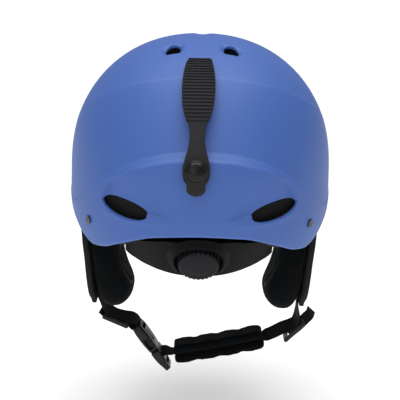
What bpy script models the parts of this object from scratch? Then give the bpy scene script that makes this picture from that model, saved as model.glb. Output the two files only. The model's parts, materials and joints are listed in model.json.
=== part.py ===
"""Ski helmet with a goggle clip, a dial-fit cradle, soft ear pads and a buckled chin strap.

Frame: +X is the wearer's right, +Y is forward, +Z is up.  The origin is the centre of the flat
underside of the crown pad, where the top of the head rests.  Sizes below are in millimetres and
every mesh is scaled to metres when it is made.
"""

import math

import bmesh
import bpy
import numpy as np
from mathutils import Vector

MM = 0.001
GAP = 0.3

# Hard shell: a superellipse outline lifted into a dome over its widest plane.
SHELL_TOP = 32.0
DOME_HEIGHT = 107.5
WIDEST_Z = SHELL_TOP - DOME_HEIGHT
HALF_WIDTH = 108.0
HALF_LENGTH = 138.0
OUTLINE_POWER = 2.25
DOME_POWER = 2.15
SHELL_WALL = 2.2
LEDGE_OUT = 3.0
BAND_IN = 5.0
AZIMUTHS = 64

# Rim height, measured from the widest plane, by azimuth in degrees from the back of the helmet.
RIM = [(0, -33), (14, -35), (27, -43), (38, -50.5), (45, -52), (53, -47), (62, -38), (75, -29),
       (92, -24), (112, -22), (132, -18), (152, -12), (180, -9)]

# Foam liner and head cavity.
LINER_GAP = 1.5
CAVITY_HALF_WIDTH = 84.0
CAVITY_HALF_LENGTH = 112.0
CAVITY_TOP = 8.0
LINER_RIM_UP = 2.5
LINER_LIP = 5.8

# Vents: azimuth, height over the widest plane, half length, half width, slant in degrees.
REAR_VENT = dict(azimuth=25.0, height=-14.5, long=21.5, short=6.8, slant=-14.0)
TOP_VENT = dict(azimuth=27.0, height=100.6, long=6.6, short=5.3, slant=70.0)
FRONT_VENT = dict(azimuth=146.0, height=99.0, long=8.5, short=5.3, slant=110.0)
VENT_MESH = 1.0
VENT_MESH_DEPTH = 7.2
DUCT_EXTRA = 2.0

# Rear rivets on the corner lobes of the shell.
RIVET_AZIMUTH = 44.0
RIVET_HEIGHT = -31.0
RIVET_HEAD = 3.4
RIVET_SHANK = 1.6

# Goggle clip: a rubber strap from the crown to a snap on the lower back panel.
CLIP_THICK = 2.6
CLIP_TOP = 94.5
CLIP_STANDOFF = [(94.5, 2.3), (86, 2.4), (74, 2.8), (58, 3.2), (42, 3.8), (28, 5.0), (16, 5.9),
                 (6, 5.9), (-3, 5.4)]
CLIP_WIDTHS = [(0.0, 16.0), (0.06, 17.5), (0.3, 23.0), (0.52, 15.5), (0.62, 10.4), (0.72, 12.5),
               (0.82, 18.0), (0.88, 17.0), (0.93, 12.8), (1.0, 11.0)]
SNAP_CAP_RADIUS = 7.9
SNAP_AT = 0.835

# Fit cradle: a band bent round a tilted arc behind the head.
CRADLE_TILT = 36.0
CRADLE_CENTRE = (0.0, -49.0, -93.0)
CRADLE_RADIUS = 70.0
CRADLE_WALL = 2.0
CRADLE_LOW = [(0, -20.5), (30, -22), (45, -24.5), (58, -28)]
CRADLE_HIGH = [(0, 20), (20, 17), (30, 11), (45, 1.5), (58, 0)]
CRADLE_HALF_ANGLE = 58.0
CRADLE_PIVOT = (0.0, -72.0, -116.0)

# Dial, pinion and the two toothed belt arms that it drives.
DIAL_RADIUS = 16.4
DIAL_DEPTH = 7.0
DIAL_TEETH = 28
PINION_TEETH = 10
PINION_RADIUS = 5.0
RACK_RADIUS = 65.5
RACK_THICK = 1.6
RACK_BACK = 12.0
TOOTH_HEIGHT = 1.7
HOUSING_RADIUS = 21.5

# Ear pads: section heights with the cushion's inner and outer face and its back and front.
CUSHION = [(-86, 66, 75, -26, 20), (-90, 64, 77, -34, 27), (-100, 63, 77.4, -40, 31),
           (-110, 63.5, 78, -43, 33), (-119, 64, 88.8, -44, 33), (-135, 64.5, 89.2, -44, 33),
           (-150, 64, 87.8, -42, 31), (-168, 61.5, 86.6, -37, 28), (-183, 59, 85.2, -31, 24),
           (-193, 61, 82.4, -25, 19), (-199, 66.5, 78.5, -16, 11)]
FLAP = [(-103, 97.5, -22, 30), (-110, 97.2, -36, 33), (-118, 96.7, -45, 35),
        (-135, 95.5, -45, 34), (-150, 94, -43, 32),
        (-168, 92.8, -38, 29), (-183, 91.4, -31, 24), (-192, 89.2, -24, 18)]
FLAP_THICK = 3.2

# Chin strap, drawn in the plane across the helmet.
STRAP_WIDTH = 16.0
STRAP_THICK = 1.4
STRAP_Y = -2.0
LEFT_STRAP = [(-91.6, -128), (-89.9, -148), (-88.7, -166), (-87.2, -182), (-84.9, -193),
              (-80.5, -202.5), (-74, -208.2), (-65, -211.6), (-56.5, -214.4)]
RIGHT_STRAP = [(91.6, -128), (89.9, -148), (88.7, -166), (87.2, -182), (84.7, -193),
               (84.8, -202), (83.6, -210), (78.5, -216)]
CHIN_STRAP = [(-27.5, -241.8), (-20.5, -242.6), (0, -239.2), (20, -235.4), (40, -231.2),
              (58, -226.9)]
LINK_STRAP = [(58.6, -226.7), (66, -223.6), (73, -219.2)]
TAIL_STRAP = [(93.6, -210.2), (96.4, -207), (97.8, -202.6)]
HANGER = (89.9, 91.6, -127.4, -101.0)
CHIN_PAD_SPAN = (-19.8, 57.0)
CHIN_PAD_LOBES = 4
CHIN_PAD_THICK = 7.0
CHIN_PAD_WIDTH = 26.0

# Side-release buckle: its axis runs down and across from the left strap to the chin pad.
BUCKLE_START = (-52.5, -218.5)
BUCKLE_END = (-24.5, -256.0)
BUCKLE_WIDTH = 26.0
BUCKLE_THICK = 9.0
SOCKET_LENGTH = 27.0
PLUG_LENGTH = 46.7


# ---------------------------------------------------------------- small tools


def smooth_value(points, x):
    """Monotone cubic value at x through hand-placed points."""
    xs = np.array([p[0] for p in points], float)
    ys = np.array([p[1] for p in points], float)
    slopes = np.diff(ys) / np.diff(xs)
    tangents = np.zeros(len(xs))
    for i in range(1, len(xs) - 1):
        a, b = slopes[i - 1], slopes[i]
        tangents[i] = 0.0 if a * b <= 0 else 2 * a * b / (a + b)
    x = min(max(x, xs[0]), xs[-1])
    i = min(int(np.searchsorted(xs, x, side="right")) - 1, len(xs) - 2)
    step = xs[i + 1] - xs[i]
    t = (x - xs[i]) / step
    return (ys[i] * (1 + 2 * t) * (1 - t) ** 2 + tangents[i] * step * t * (1 - t) ** 2
            + ys[i + 1] * t * t * (3 - 2 * t) + tangents[i + 1] * step * t * t * (t - 1))


def curve_points(points, count):
    """Evenly spaced points along a Catmull-Rom curve through the given points."""
    pts = np.array(points, float)
    ends = np.vstack([2 * pts[0] - pts[1], pts, 2 * pts[-1] - pts[-2]])
    fine = []
    for i in range(1, len(ends) - 2):
        p0, p1, p2, p3 = ends[i - 1:i + 3]
        for t in np.linspace(0, 1, 16, endpoint=False):
            fine.append(0.5 * (2 * p1 + (p2 - p0) * t + (2 * p0 - 5 * p1 + 4 * p2 - p3) * t * t
                               + (3 * p1 - p0 - 3 * p2 + p3) * t ** 3))
    fine.append(ends[-2])
    fine = np.array(fine)
    along = np.concatenate([[0], np.cumsum(np.linalg.norm(np.diff(fine, axis=0), axis=1))])
    wanted = np.linspace(0, along[-1], count)
    return np.stack([np.interp(wanted, along, fine[:, k]) for k in range(pts.shape[1])], axis=1)


def material(name, colour, roughness, metallic=0.0):
    mat = bpy.data.materials.new(name)
    mat.use_nodes = True
    shader = mat.node_tree.nodes["Principled BSDF"]
    shader.inputs["Base Color"].default_value = (*colour, 1)
    shader.inputs["Roughness"].default_value = roughness
    shader.inputs["Metallic"].default_value = metallic
    mat.diffuse_color = (*colour, 1)
    return mat


def add_object(name, verts, faces, mat, smooth=True):
    """Mesh object from points in millimetres, with its faces turned outwards."""
    mesh = bpy.data.meshes.new(name)
    mesh.from_pydata([Vector(v) * MM for v in verts], [], faces)
    bm = bmesh.new()
    bm.from_mesh(mesh)
    bmesh.ops.recalc_face_normals(bm, faces=bm.faces)
    if bm.calc_volume(signed=True) < 0:
        bmesh.ops.reverse_faces(bm, faces=bm.faces)
    bm.to_mesh(mesh)
    bm.free()
    if smooth:
        mesh.shade_smooth()
        mesh.set_sharp_from_angle(angle=math.radians(35))
    obj = bpy.data.objects.new(name, mesh)
    obj.data.materials.append(mat)
    bpy.context.collection.objects.link(obj)
    return obj


def loft(name, rings, mat, smooth=True):
    """Closed solid through rings with the same number of points, capped at both ends."""
    count = len(rings[0])
    verts = [p for ring in rings for p in ring]
    faces = []
    for r in range(len(rings) - 1):
        for i in range(count):
            j = (i + 1) % count
            faces.append([r * count + i, r * count + j, (r + 1) * count + j, (r + 1) * count + i])
    faces.append(list(range(count)))
    faces.append([(len(rings) - 1) * count + i for i in range(count)])
    return add_object(name, verts, faces, mat, smooth)


def prism(name, outline, place, low, high, mat, smooth=False):
    """Extrude a flat outline; place(u, v, w) turns outline and depth into a point."""
    rings = [[place(u, v, w) for u, v in outline] for w in (low, high)]
    return loft(name, rings, mat, smooth)


def across(u, v, w):
    """Outline in the X-Z plane, extruded along Y."""
    return (u, w, v)


def lathe(name, profile, centre, axis, mat, sides=24, side_dir=(1, 0, 0)):
    """Solid turned from (radius, along) pairs about an axis; a radius of 0 is a point."""
    axis = Vector(axis).normalized()
    first = (Vector(side_dir) - axis * axis.dot(Vector(side_dir))).normalized()
    second = axis.cross(first)
    verts, rows = [], []
    for radius, along in profile:
        start = len(verts)
        if radius == 0:
            verts.append(Vector(centre) + axis * along)
            rows.append([start] * sides)
            continue
        for k in range(sides):
            angle = 2 * math.pi * k / sides
            ray = first * math.cos(angle) + second * math.sin(angle)
            verts.append(Vector(centre) + axis * along + ray * radius)
        rows.append(list(range(start, start + sides)))
    faces = []
    for a, b in zip(rows, rows[1:]):
        for k in range(sides):
            j = (k + 1) % sides
            quad = list(dict.fromkeys([a[k], a[j], b[j], b[k]]))
            if len(quad) > 2:
                faces.append(quad)
    if profile[0] != profile[-1]:
        for row in (rows[0], rows[-1]):
            if row[0] != row[1]:
                faces.append(row)
        return add_object(name, verts, faces, mat)
    keep = verts[:rows[-1][0]]
    faces = [[v % len(keep) for v in face] for face in faces]
    return add_object(name, keep, faces, mat)


def cut(obj, cutter, operation="DIFFERENCE"):
    """Boolean with a hidden helper object."""
    mod = obj.modifiers.new(cutter.name, "BOOLEAN")
    mod.operation = operation
    mod.solver = "EXACT"
    mod.object = cutter
    cutter.hide_render = True
    cutter.display_type = "WIRE"


def parent_to(obj, empty):
    obj.parent = empty
    obj.matrix_parent_inverse = empty.matrix_world.inverted()


def pivot(name, place):
    empty = bpy.data.objects.new(name, None)
    empty.location = Vector(place) * MM
    empty.empty_display_size = 0.02
    bpy.context.collection.objects.link(empty)
    bpy.context.view_layer.update()
    return empty


# ---------------------------------------------------------------- helmet surface


def outline_radius(azimuth, half_width=HALF_WIDTH, half_length=HALF_LENGTH):
    """Distance from the middle to the outline at an azimuth (degrees) from the back."""
    a = math.radians(azimuth)
    wide = (abs(math.sin(a)) / half_width) ** OUTLINE_POWER
    long = (abs(math.cos(a)) / half_length) ** OUTLINE_POWER
    return (wide + long) ** (-1 / OUTLINE_POWER)


def dome_scale(height):
    """Share of the outline left at a height over the widest plane."""
    if height >= 0:
        return max(0.0, 1 - (height / DOME_HEIGHT) ** DOME_POWER) ** (1 / DOME_POWER)
    drop = max(0.0, -height - 15)
    return 1 - 0.000033 * drop * drop


def height_of_scale(scale):
    return DOME_HEIGHT * (1 - scale ** DOME_POWER) ** (1 / DOME_POWER)


def crease_height(azimuth):
    """Crease between the crown and the goggle-strap band: high behind, low at the sides."""
    return 82.5 - 48 * (1 - math.cos(math.radians(min(azimuth, 90)))) - 0.12 * max(0, azimuth - 90)


def ledge_height(azimuth):
    """Top of the ledge under the band, an arch across the back."""
    return 31 - 54 * math.sin(math.radians(min(1.31 * azimuth, 90))) ** 2.4


def back_fade(azimuth, full, gone):
    t = min(max((azimuth - full) / (gone - full), 0), 1)
    return 1 - t * t * (3 - 2 * t)


def shell_profile(azimuth):
    """(radius, height) pairs up the outside of the shell at one azimuth, rim to crown."""
    azimuth = abs((azimuth + 180) % 360 - 180)
    radius = outline_radius(azimuth)
    rim = smooth_value(RIM, azimuth)
    top = max(ledge_height(azimuth), rim + 9)
    chamfer = 4.8 * back_fade(azimuth, 20, 85) + 1.2
    low = top - chamfer
    crease = crease_height(azimuth)
    out = LEDGE_OUT * back_fade(azimuth, 10, 58)
    inset = BAND_IN * back_fade(azimuth, 20, 96)
    rows = []
    for t in (0.0, 0.35, 0.7):
        height = rim + (low - rim) * t
        rows.append((radius * dome_scale(height) + out * t, height))
    rows.append((radius * dome_scale(low) + out, low))
    for t in (0.0, 0.22, 0.48, 0.74, 0.93):
        height = top + (crease - top) * t
        depth = inset * (1 - t) * (3.2 * t + 0.55)
        rows.append((radius * dome_scale(height) - depth, height))
    scale = dome_scale(crease)
    rows.append((radius * scale, crease))
    for t in (0.84, 0.66, 0.46, 0.24):
        rows.append((radius * scale * t, height_of_scale(scale * t)))
    return rows


def shell_grid(azimuths):
    grid = []
    for k in range(azimuths):
        azimuth = 360 * k / azimuths
        a = math.radians(azimuth)
        grid.append([(r * math.sin(a), -r * math.cos(a), WIDEST_Z + h)
                     for r, h in shell_profile(azimuth)])
    return np.array(grid).transpose(1, 0, 2)


def offset_grid(grid, crown, depth):
    """Move each point of a dome grid inwards along its surface normal."""
    around = np.roll(grid, -1, axis=1) - np.roll(grid, 1, axis=1)
    above = np.concatenate([grid[1:], np.broadcast_to(crown, (1,) + grid.shape[1:])])
    below = np.concatenate([grid[:1], grid[:-1]])
    normal = np.cross(around, above - below)
    normal /= np.linalg.norm(normal, axis=2, keepdims=True)
    return grid - normal * depth


def dome_solid(name, outer, outer_crown, inner, inner_crown, mat):
    """Closed wall between two dome grids that share a rim."""
    rows, around = outer.shape[:2]
    inner_rows = inner.shape[0]
    verts = [tuple(p) for p in outer.reshape(-1, 3)] + [tuple(p) for p in inner.reshape(-1, 3)]
    crown_out = len(verts)
    verts += [outer_crown, inner_crown]
    base = rows * around
    faces = []
    for i in range(around):
        j = (i + 1) % around
        for r in range(rows - 1):
            faces.append([r * around + i, r * around + j, (r + 1) * around + j,
                          (r + 1) * around + i])
        faces.append([(rows - 1) * around + i, (rows - 1) * around + j, crown_out])
        for r in range(inner_rows - 1):
            faces.append([base + r * around + j, base + r * around + i,
                          base + (r + 1) * around + i, base + (r + 1) * around + j])
        top = base + (inner_rows - 1) * around
        faces.append([top + j, top + i, crown_out + 1])
        faces.append([j, i, base + i, base + j])
    return add_object(name, verts, faces, mat)


def surface_point(azimuth, height):
    """Point and outward normal on the shell's outside."""
    def point(az, h):
        profile = shell_profile(az)
        heights = [p[1] for p in profile] + [DOME_HEIGHT]
        radii = [p[0] for p in profile] + [0]
        r = float(np.interp(h, heights, radii))
        a = math.radians(az)
        return Vector((r * math.sin(a), -r * math.cos(a), WIDEST_Z + h))
    here = point(azimuth, height)
    along = point(azimuth + 2, height) - point(azimuth - 2, height)
    up = point(azimuth, height + 1.5) - point(azimuth, height - 1.5)
    return here, along.cross(up).normalized()


def vent_frame(spec, side):
    """Centre, long direction, short direction and outward normal of one vent."""
    centre, normal = surface_point(spec["azimuth"] * side, spec["height"])
    level = Vector((0, 0, 1)).cross(normal).normalized()
    rise = normal.cross(level)
    slant = math.radians(spec["slant"] * -side)
    long = level * math.cos(slant) + rise * math.sin(slant)
    return centre, long, normal.cross(long), normal


def vent_solid(name, frame, long, short, low, high, mat, sides=24):
    """Elliptical prism along a vent's normal."""
    centre, axis_long, axis_short, normal = frame
    rings = []
    for depth in (low, high):
        ring = []
        for k in range(sides):
            a = 2 * math.pi * k / sides
            ring.append(centre + axis_long * (long * math.cos(a))
                        + axis_short * (short * math.sin(a)) + normal * depth)
        rings.append(ring)
    return loft(name, rings, mat)


# ---------------------------------------------------------------- helmet body


def make_shell(mats):
    outer = shell_grid(AZIMUTHS)
    crown = np.array([0, 0, SHELL_TOP])
    inner = offset_grid(outer, crown, SHELL_WALL)
    inner[0, :, 2] = outer[0, :, 2]
    return dome_solid("shell_outer", outer, tuple(crown), inner,
                      (0, 0, SHELL_TOP - SHELL_WALL), mats["shell"])


def cavity_grid(rows, rim_heights, azimuths):
    """Inside of the foam liner: straight walls up to the widest plane, then a dome."""
    height = CAVITY_TOP - WIDEST_Z
    grid = []
    for t in rows:
        ring = []
        for k in range(azimuths):
            azimuth = 360 * k / azimuths
            radius = outline_radius(azimuth, CAVITY_HALF_WIDTH, CAVITY_HALF_LENGTH)
            a = math.radians(azimuth)
            if t <= 0:
                h = rim_heights[k] * (-t)
                scale = 1.0
            else:
                scale = math.cos(t * math.pi / 2)
                h = height * (1 - scale ** DOME_POWER) ** (1 / DOME_POWER)
            ring.append((radius * scale * math.sin(a), -radius * scale * math.cos(a),
                         WIDEST_Z + h))
        grid.append(ring)
    return np.array(grid)


def make_liner(mats):
    count = AZIMUTHS // 2
    grid = shell_grid(count)
    crown = np.array([0, 0, SHELL_TOP])
    outer = offset_grid(grid, crown, SHELL_WALL + LINER_GAP)
    outer[0, :, 2] = grid[0, :, 2] + LINER_RIM_UP
    outer = np.delete(outer, [1, 2, 5, 8], axis=0)
    rim = []
    for k in range(count):
        azimuth = abs((360 * k / count + 180) % 360 - 180)
        lip = LINER_LIP * back_fade(azimuth, 32, 54)
        rim.append(smooth_value(RIM, azimuth) + LINER_RIM_UP - lip)
    inner = cavity_grid((-1, 0, 0.14, 0.26, 0.4, 0.58, 0.76, 0.9), rim, count)
    return dome_solid("liner_foam", outer, (0, 0, SHELL_TOP - SHELL_WALL - LINER_GAP), inner,
                      (0, 0, CAVITY_TOP), mats["foam"])


def make_vents(shell, liner, mats):
    specs = (("rear", REAR_VENT), ("top", TOP_VENT), ("front", FRONT_VENT))
    for name, spec in specs:
        for side, hand in ((-1, "left"), (1, "right")):
            frame = vent_frame(spec, side)
            hole = vent_solid(f"hole_{name}_{hand}", frame, spec["long"], spec["short"],
                              -8, 8, mats["shell"])
            cut(shell, hole)
            duct = vent_solid(f"duct_{name}_{hand}", frame, spec["long"] + DUCT_EXTRA,
                              spec["short"] + DUCT_EXTRA, -60, 8, mats["foam"])
            cut(liner, duct)
            vent_solid(f"vent_mesh_{name}_{hand}", frame, spec["long"] + 1.2,
                       spec["short"] + 1.2, -VENT_MESH_DEPTH - VENT_MESH, -VENT_MESH_DEPTH,
                       mats["mesh"])


def make_rivets(shell, mats):
    for side, hand in ((-1, "left"), (1, "right")):
        centre, normal = surface_point(RIVET_AZIMUTH * side, RIVET_HEIGHT)
        hole = lathe(f"hole_rivet_{hand}", [(RIVET_SHANK + 0.4, -4), (RIVET_SHANK + 0.4, 4)],
                     centre, normal, mats["metal"], 12)
        cut(shell, hole)
        profile = [(0, -2.5), (RIVET_SHANK, -2.4), (RIVET_SHANK, 0.5), (RIVET_HEAD, 0.5),
                   (RIVET_HEAD * 0.85, 1.3), (0, 1.7)]
        lathe(f"shell_rivet_{hand}", profile, centre, normal, mats["metal"], 16)


def make_pads(mats):
    """Comfort padding inside the foam: a crown disc and two halves of a headband."""
    profile = [(0, 0), (27, 0), (28, 0.8), (28, 2.8), (20, 4.8), (0, 6.6)]
    lathe("crown_pad", profile, (0, 0, 0), (0, 0, 1), mats["fleece"], 32)
    for name, start, end in (("headband_pad_rear", -84, 84), ("headband_pad_front", 90, 270)):
        rings = []
        for azimuth in np.linspace(start, end, 22):
            a = math.radians(azimuth)
            ring = []
            for height, inset in ((-4, 1.0), (18, 1.6), (36, 2.6), (36, 6.6), (18, 6.2),
                                  (-4, 5.4)):
                scale = (1 - (max(height, 0) / (CAVITY_TOP - WIDEST_Z)) ** DOME_POWER)
                radius = outline_radius(azimuth, CAVITY_HALF_WIDTH, CAVITY_HALF_LENGTH)
                r = radius * scale ** (1 / DOME_POWER) - inset
                ring.append((r * math.sin(a), -r * math.cos(a), WIDEST_Z + height))
            rings.append(ring)
        loft(name, rings, mats["fleece"])


# ---------------------------------------------------------------- goggle clip


def clip_frames(count=30):
    """Points (y, z) down the strap with tangent and outward normal."""
    path = []
    for height, standoff in CLIP_STANDOFF:
        back = HALF_LENGTH * dome_scale(height)
        slope = (dome_scale(height - 0.5) - dome_scale(height + 0.5)) * HALF_LENGTH
        size = math.hypot(1, slope)
        path.append((-back - standoff / size, WIDEST_Z + height + standoff * slope / size))
    points = curve_points(path, count)
    tangents = np.gradient(points, axis=0)
    tangents /= np.linalg.norm(tangents, axis=1, keepdims=True)
    normals = np.stack([tangents[:, 1], -tangents[:, 0]], axis=1)
    return points, tangents, normals


def make_clip(mats):
    points, _, normals = clip_frames()
    rings = []
    for k, (p, n) in enumerate(zip(points, normals)):
        half = smooth_value(CLIP_WIDTHS, k / (len(points) - 1)) / 2
        face = p + n * CLIP_THICK
        rings.append([(-half, *p), (half, *p), (half, *face), (half - 0.8, *(face + n * 0.5)),
                      (-half + 0.8, *(face + n * 0.5)), (-half, *face)])
    hinge = pivot("goggle_clip_axis", (0, *points[0]))
    strap = loft("goggle_clip", rings, mats["rubber"])
    index = round(SNAP_AT * (len(points) - 1))
    base, normal = points[index], normals[index]
    axis = (0, *normal)
    outside = (0, *(base + normal * (CLIP_THICK + 0.5 + GAP)))
    profile = [(0, 0), (SNAP_CAP_RADIUS, 0), (SNAP_CAP_RADIUS, 1.6), (6.2, 3.2), (3.4, 4.1),
               (0, 4.4)]
    cap = lathe("snap_cap", profile, outside, axis, mats["gloss"], 28)
    inside = (0, *(base - normal * 0.9))
    ring = [(5.0, 0), (7.0, 0), (7.0, -1.1), (5.0, -1.1), (5.0, 0)]
    socket = lathe("snap_socket", ring, inside, axis, mats["gloss"], 24)
    for obj in (strap, cap, socket):
        parent_to(obj, hinge)
    make_clip_mounts(base, mats)


def make_clip_mounts(base, mats):
    """Stud under the snap and the anchor plate under the strap's top end."""
    height = base[1] - WIDEST_Z - 1.0
    foot, out = surface_point(0, height)
    lathe("snap_stud", [(0, GAP), (3.0, GAP), (3.0, 0.9), (2.0, 1.4), (0, 1.5)], foot, out,
          mats["metal"], 16)
    ground, up = surface_point(0, CLIP_TOP - 3.5)
    side = Vector((1, 0, 0))
    along = up.cross(side)
    rings = []
    for depth, grow in ((GAP, 0.0), (1.5, -0.5)):
        ring = []
        for u, v in ((-7.5, -5), (7.5, -5), (7.5, 5), (-7.5, 5)):
            u, v = u + math.copysign(grow, u), v + math.copysign(grow, v)
            ring.append(ground + side * u + along * v + up * depth)
        rings.append(ring)
    loft("clip_anchor", rings, mats["gloss"], smooth=False)


# ---------------------------------------------------------------- fit cradle


def cradle_axes():
    """Outward direction of the dial and the direction of the cradle's bending axis."""
    t = math.radians(CRADLE_TILT)
    out = Vector((0, -math.cos(t), -math.sin(t)))
    up = Vector((0, -math.sin(t), math.cos(t)))
    return out, up


def cradle_point(angle, radius, height):
    out, up = cradle_axes()
    a = math.radians(angle)
    centre = Vector(CRADLE_CENTRE)
    return centre + (out * math.cos(a) + Vector((1, 0, 0)) * math.sin(a)) * radius + up * height


def bent_plate(name, angles, low, high, inner, outer, mat):
    """Plate bent round the cradle's axis; low and high give its edges at each angle."""
    rings = []
    for angle in angles:
        lo, hi = low(abs(angle)), high(abs(angle))
        rings.append([cradle_point(angle, inner, lo), cradle_point(angle, outer, lo),
                      cradle_point(angle, outer, hi), cradle_point(angle, inner, hi)])
    return loft(name, rings, mat)


def make_cradle(mats):
    angles = np.linspace(-CRADLE_HALF_ANGLE, CRADLE_HALF_ANGLE, 41)
    wall = bent_plate("cradle_shell", angles, lambda a: smooth_value(CRADLE_LOW, a),
                      lambda a: smooth_value(CRADLE_HIGH, a), CRADLE_RADIUS - CRADLE_WALL,
                      CRADLE_RADIUS, mats["cradle"])
    out, up = cradle_axes()
    middle = cradle_point(0, 0, 0)
    bore = lathe("hole_dial_shaft", [(3.4, 60), (3.4, 76)], middle, out, mats["cradle"], 20)
    cut(wall, bore)
    cover_angles = np.linspace(-30, 30, 21)
    bent_plate("cradle_cover", cover_angles, lambda a: -15, lambda a: 15, 60.6, 62.0,
               mats["cradle"])
    bent_plate("cradle_pad", np.linspace(-44, 44, 17), lambda a: -17 - a * 0.05,
               lambda a: 14 - a * 0.25, 55.8, 60.2, mats["fleece"])
    leaf = [(6.5, -3), (7.2, -3), (7.2, 3), (6.5, 3), (6.5, 1), (6.1, 0), (6.5, -1)]

    def leaf_place(u, v, w):
        return middle + Vector((1, 0, 0)) * u + up * v + out * w

    prism("dial_detent", leaf, leaf_place, RACK_RADIUS - 1, RACK_RADIUS + 1, mats["metal"])
    axis = pivot("cradle_axis", CRADLE_PIVOT)
    for name in ("cradle_shell", "cradle_cover", "cradle_pad", "dial_detent"):
        parent_to(bpy.data.objects[name], axis)
    return axis


def make_housing(axis, mats):
    """Raised arch that frames the dial, open at the bottom."""
    rings = []
    for angle in np.linspace(-38, 218, 33):
        a = math.radians(angle)
        ring = []
        for radius, rise in ((DIAL_RADIUS + 1.4, 0.6), (DIAL_RADIUS + 1.4, 4.6),
                             (HOUSING_RADIUS - 1.2, 4.2), (HOUSING_RADIUS, 0.6)):
            x, h = radius * math.cos(a), radius * math.sin(a)
            bend = math.degrees(math.asin(x / CRADLE_RADIUS))
            ring.append(cradle_point(bend, CRADLE_RADIUS + rise, h))
        rings.append(ring)
    arch = loft("dial_housing", rings, mats["cradle"])
    parent_to(arch, axis)


def star_ring(centre, first, second, teeth, inner, outer, share):
    """One turned outline with trapezoidal teeth, starting on a tooth's middle."""
    ring = []
    pitch = 2 * math.pi / teeth
    for k in range(teeth):
        for offset, radius in ((-share * 0.5, outer), (share * 0.5, outer),
                               (share * 0.95, inner), (1 - share * 0.95, inner)):
            angle = (k + offset) * pitch
            ring.append(centre + first * (radius * math.cos(angle))
                        + second * (radius * math.sin(angle)))
    return ring


def make_dial(axis, mats):
    out, up = cradle_axes()
    side = Vector((1, 0, 0))
    centre = cradle_point(0, 0, 0)
    rings = []
    for reach, scale in ((71.0, 0.93), (71.8, 1.0), (76.0, 1.0), (77.0, 0.93)):
        rings.append(star_ring(centre + out * reach, up, side, DIAL_TEETH,
                               (DIAL_RADIUS - 0.9) * scale, DIAL_RADIUS * scale, 0.42))
    knob = loft("dial_knob", rings, mats["dial"])
    low, high = RACK_RADIUS - 1.5, 67.2
    gear_rings = [star_ring(centre + out * reach, up, side, PINION_TEETH, PINION_RADIUS - 1.1,
                            PINION_RADIUS + 0.8, 0.3) for reach in (low, high)]
    pinion = loft("dial_pinion", gear_rings, mats["cradle"], smooth=False)
    shaft = lathe("dial_shaft", [(3.0, high - 1), (3.0, 70.6)], centre, out, mats["cradle"], 16)
    cut(pinion, shaft, "UNION")
    spin = pivot("dial_axis", centre + out * RACK_RADIUS)
    parent_to(spin, axis)
    for obj in (knob, pinion):
        parent_to(obj, spin)


def rack_outline(start, end, teeth_from, teeth_to, sign):
    """(angle, height) outline of a belt arm with teeth on the edge that faces the pinion."""
    pitch = 360 / PINION_TEETH * PINION_RADIUS / RACK_RADIUS
    root = PINION_RADIUS + 0.35 + TOOTH_HEIGHT
    tip = PINION_RADIUS - 0.35
    edge = [(start, root)]
    first = math.ceil(teeth_from / pitch - 0.5)
    last = math.floor(teeth_to / pitch - 0.5)
    for k in range(first, last + 1):
        middle = (k + 0.5) * pitch
        for offset, height in ((-0.30, root), (-0.13, tip), (0.13, tip), (0.30, root)):
            edge.append((middle + offset * pitch, height))
    edge.append((end, root))
    return [(a, sign * h) for a, h in edge]


def make_racks(axis, mats):
    """Two belt arms: the left one passes over the pinion and the right one under it."""
    for hand, sign, span, teeth in (("left", 1, (-46, 15), (-13, 14.5)),
                                    ("right", -1, (-15, 46), (-14.5, 13))):
        edge = rack_outline(*span, *teeth, sign)
        inner, outer = RACK_RADIUS - RACK_THICK / 2, RACK_RADIUS + RACK_THICK / 2
        rings = []
        for angle, height in edge:
            rings.append([cradle_point(angle, inner, height), cradle_point(angle, outer, height),
                          cradle_point(angle, outer, sign * RACK_BACK),
                          cradle_point(angle, inner, sign * RACK_BACK)])
        arm = loft(f"belt_arm_{hand}", rings, mats["cradle"], smooth=False)
        hub = pivot(f"belt_arm_{hand}_axis", CRADLE_CENTRE)
        parent_to(hub, axis)
        parent_to(arm, hub)


def make_belts(mats):
    """Side belts from the cradle's ends to the temples, inside the foam."""
    for side, hand in ((-1, "left"), (1, "right")):
        rings = []
        for azimuth in np.linspace(46, 118, 14):
            radius = outline_radius(azimuth, CAVITY_HALF_WIDTH, CAVITY_HALF_LENGTH) - 3.4
            a = math.radians(azimuth)
            z = -112 + 14 * min((azimuth - 46) / 24, 1)
            half = 6.5 - 1.5 * (azimuth - 46) / 72
            ring = []
            for r, h in ((radius, -half), (radius - 1.6, -half), (radius - 1.6, half),
                         (radius, half)):
                ring.append((side * r * math.sin(a), -r * math.cos(a), z + h))
            rings.append(ring)
        loft(f"side_belt_{hand}", rings, mats["cradle"])


# ---------------------------------------------------------------- ear pads


def rounded_section(x_low, x_high, y_low, y_high, z, side, power=3.0, count=20):
    """Level ring with rounded corners, mirrored for the left side."""
    cx, cy = (x_low + x_high) / 2, (y_low + y_high) / 2
    hx, hy = (x_high - x_low) / 2, (y_high - y_low) / 2
    ring = []
    for k in range(count):
        a = 2 * math.pi * k / count
        c, s = math.cos(a), math.sin(a)
        x = cx + hx * math.copysign(abs(c) ** (2 / power), c)
        y = cy + hy * math.copysign(abs(s) ** (2 / power), s)
        ring.append((side * x, y, z))
    return ring


def make_ear_pads(mats):
    for side, hand in ((-1, "left"), (1, "right")):
        rings = [rounded_section(lo, hi, back, front, z, side)
                 for z, lo, hi, back, front in CUSHION]
        loft(f"ear_cushion_{hand}", rings, mats["fleece"])
        rings = []
        for z, outside, back, front in FLAP:
            rings.append(rounded_section(outside - FLAP_THICK, outside, back, front, z, side,
                                         4.0, 16))
        loft(f"ear_flap_{hand}", rings, mats["fabric"])


# ---------------------------------------------------------------- chin strap


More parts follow.
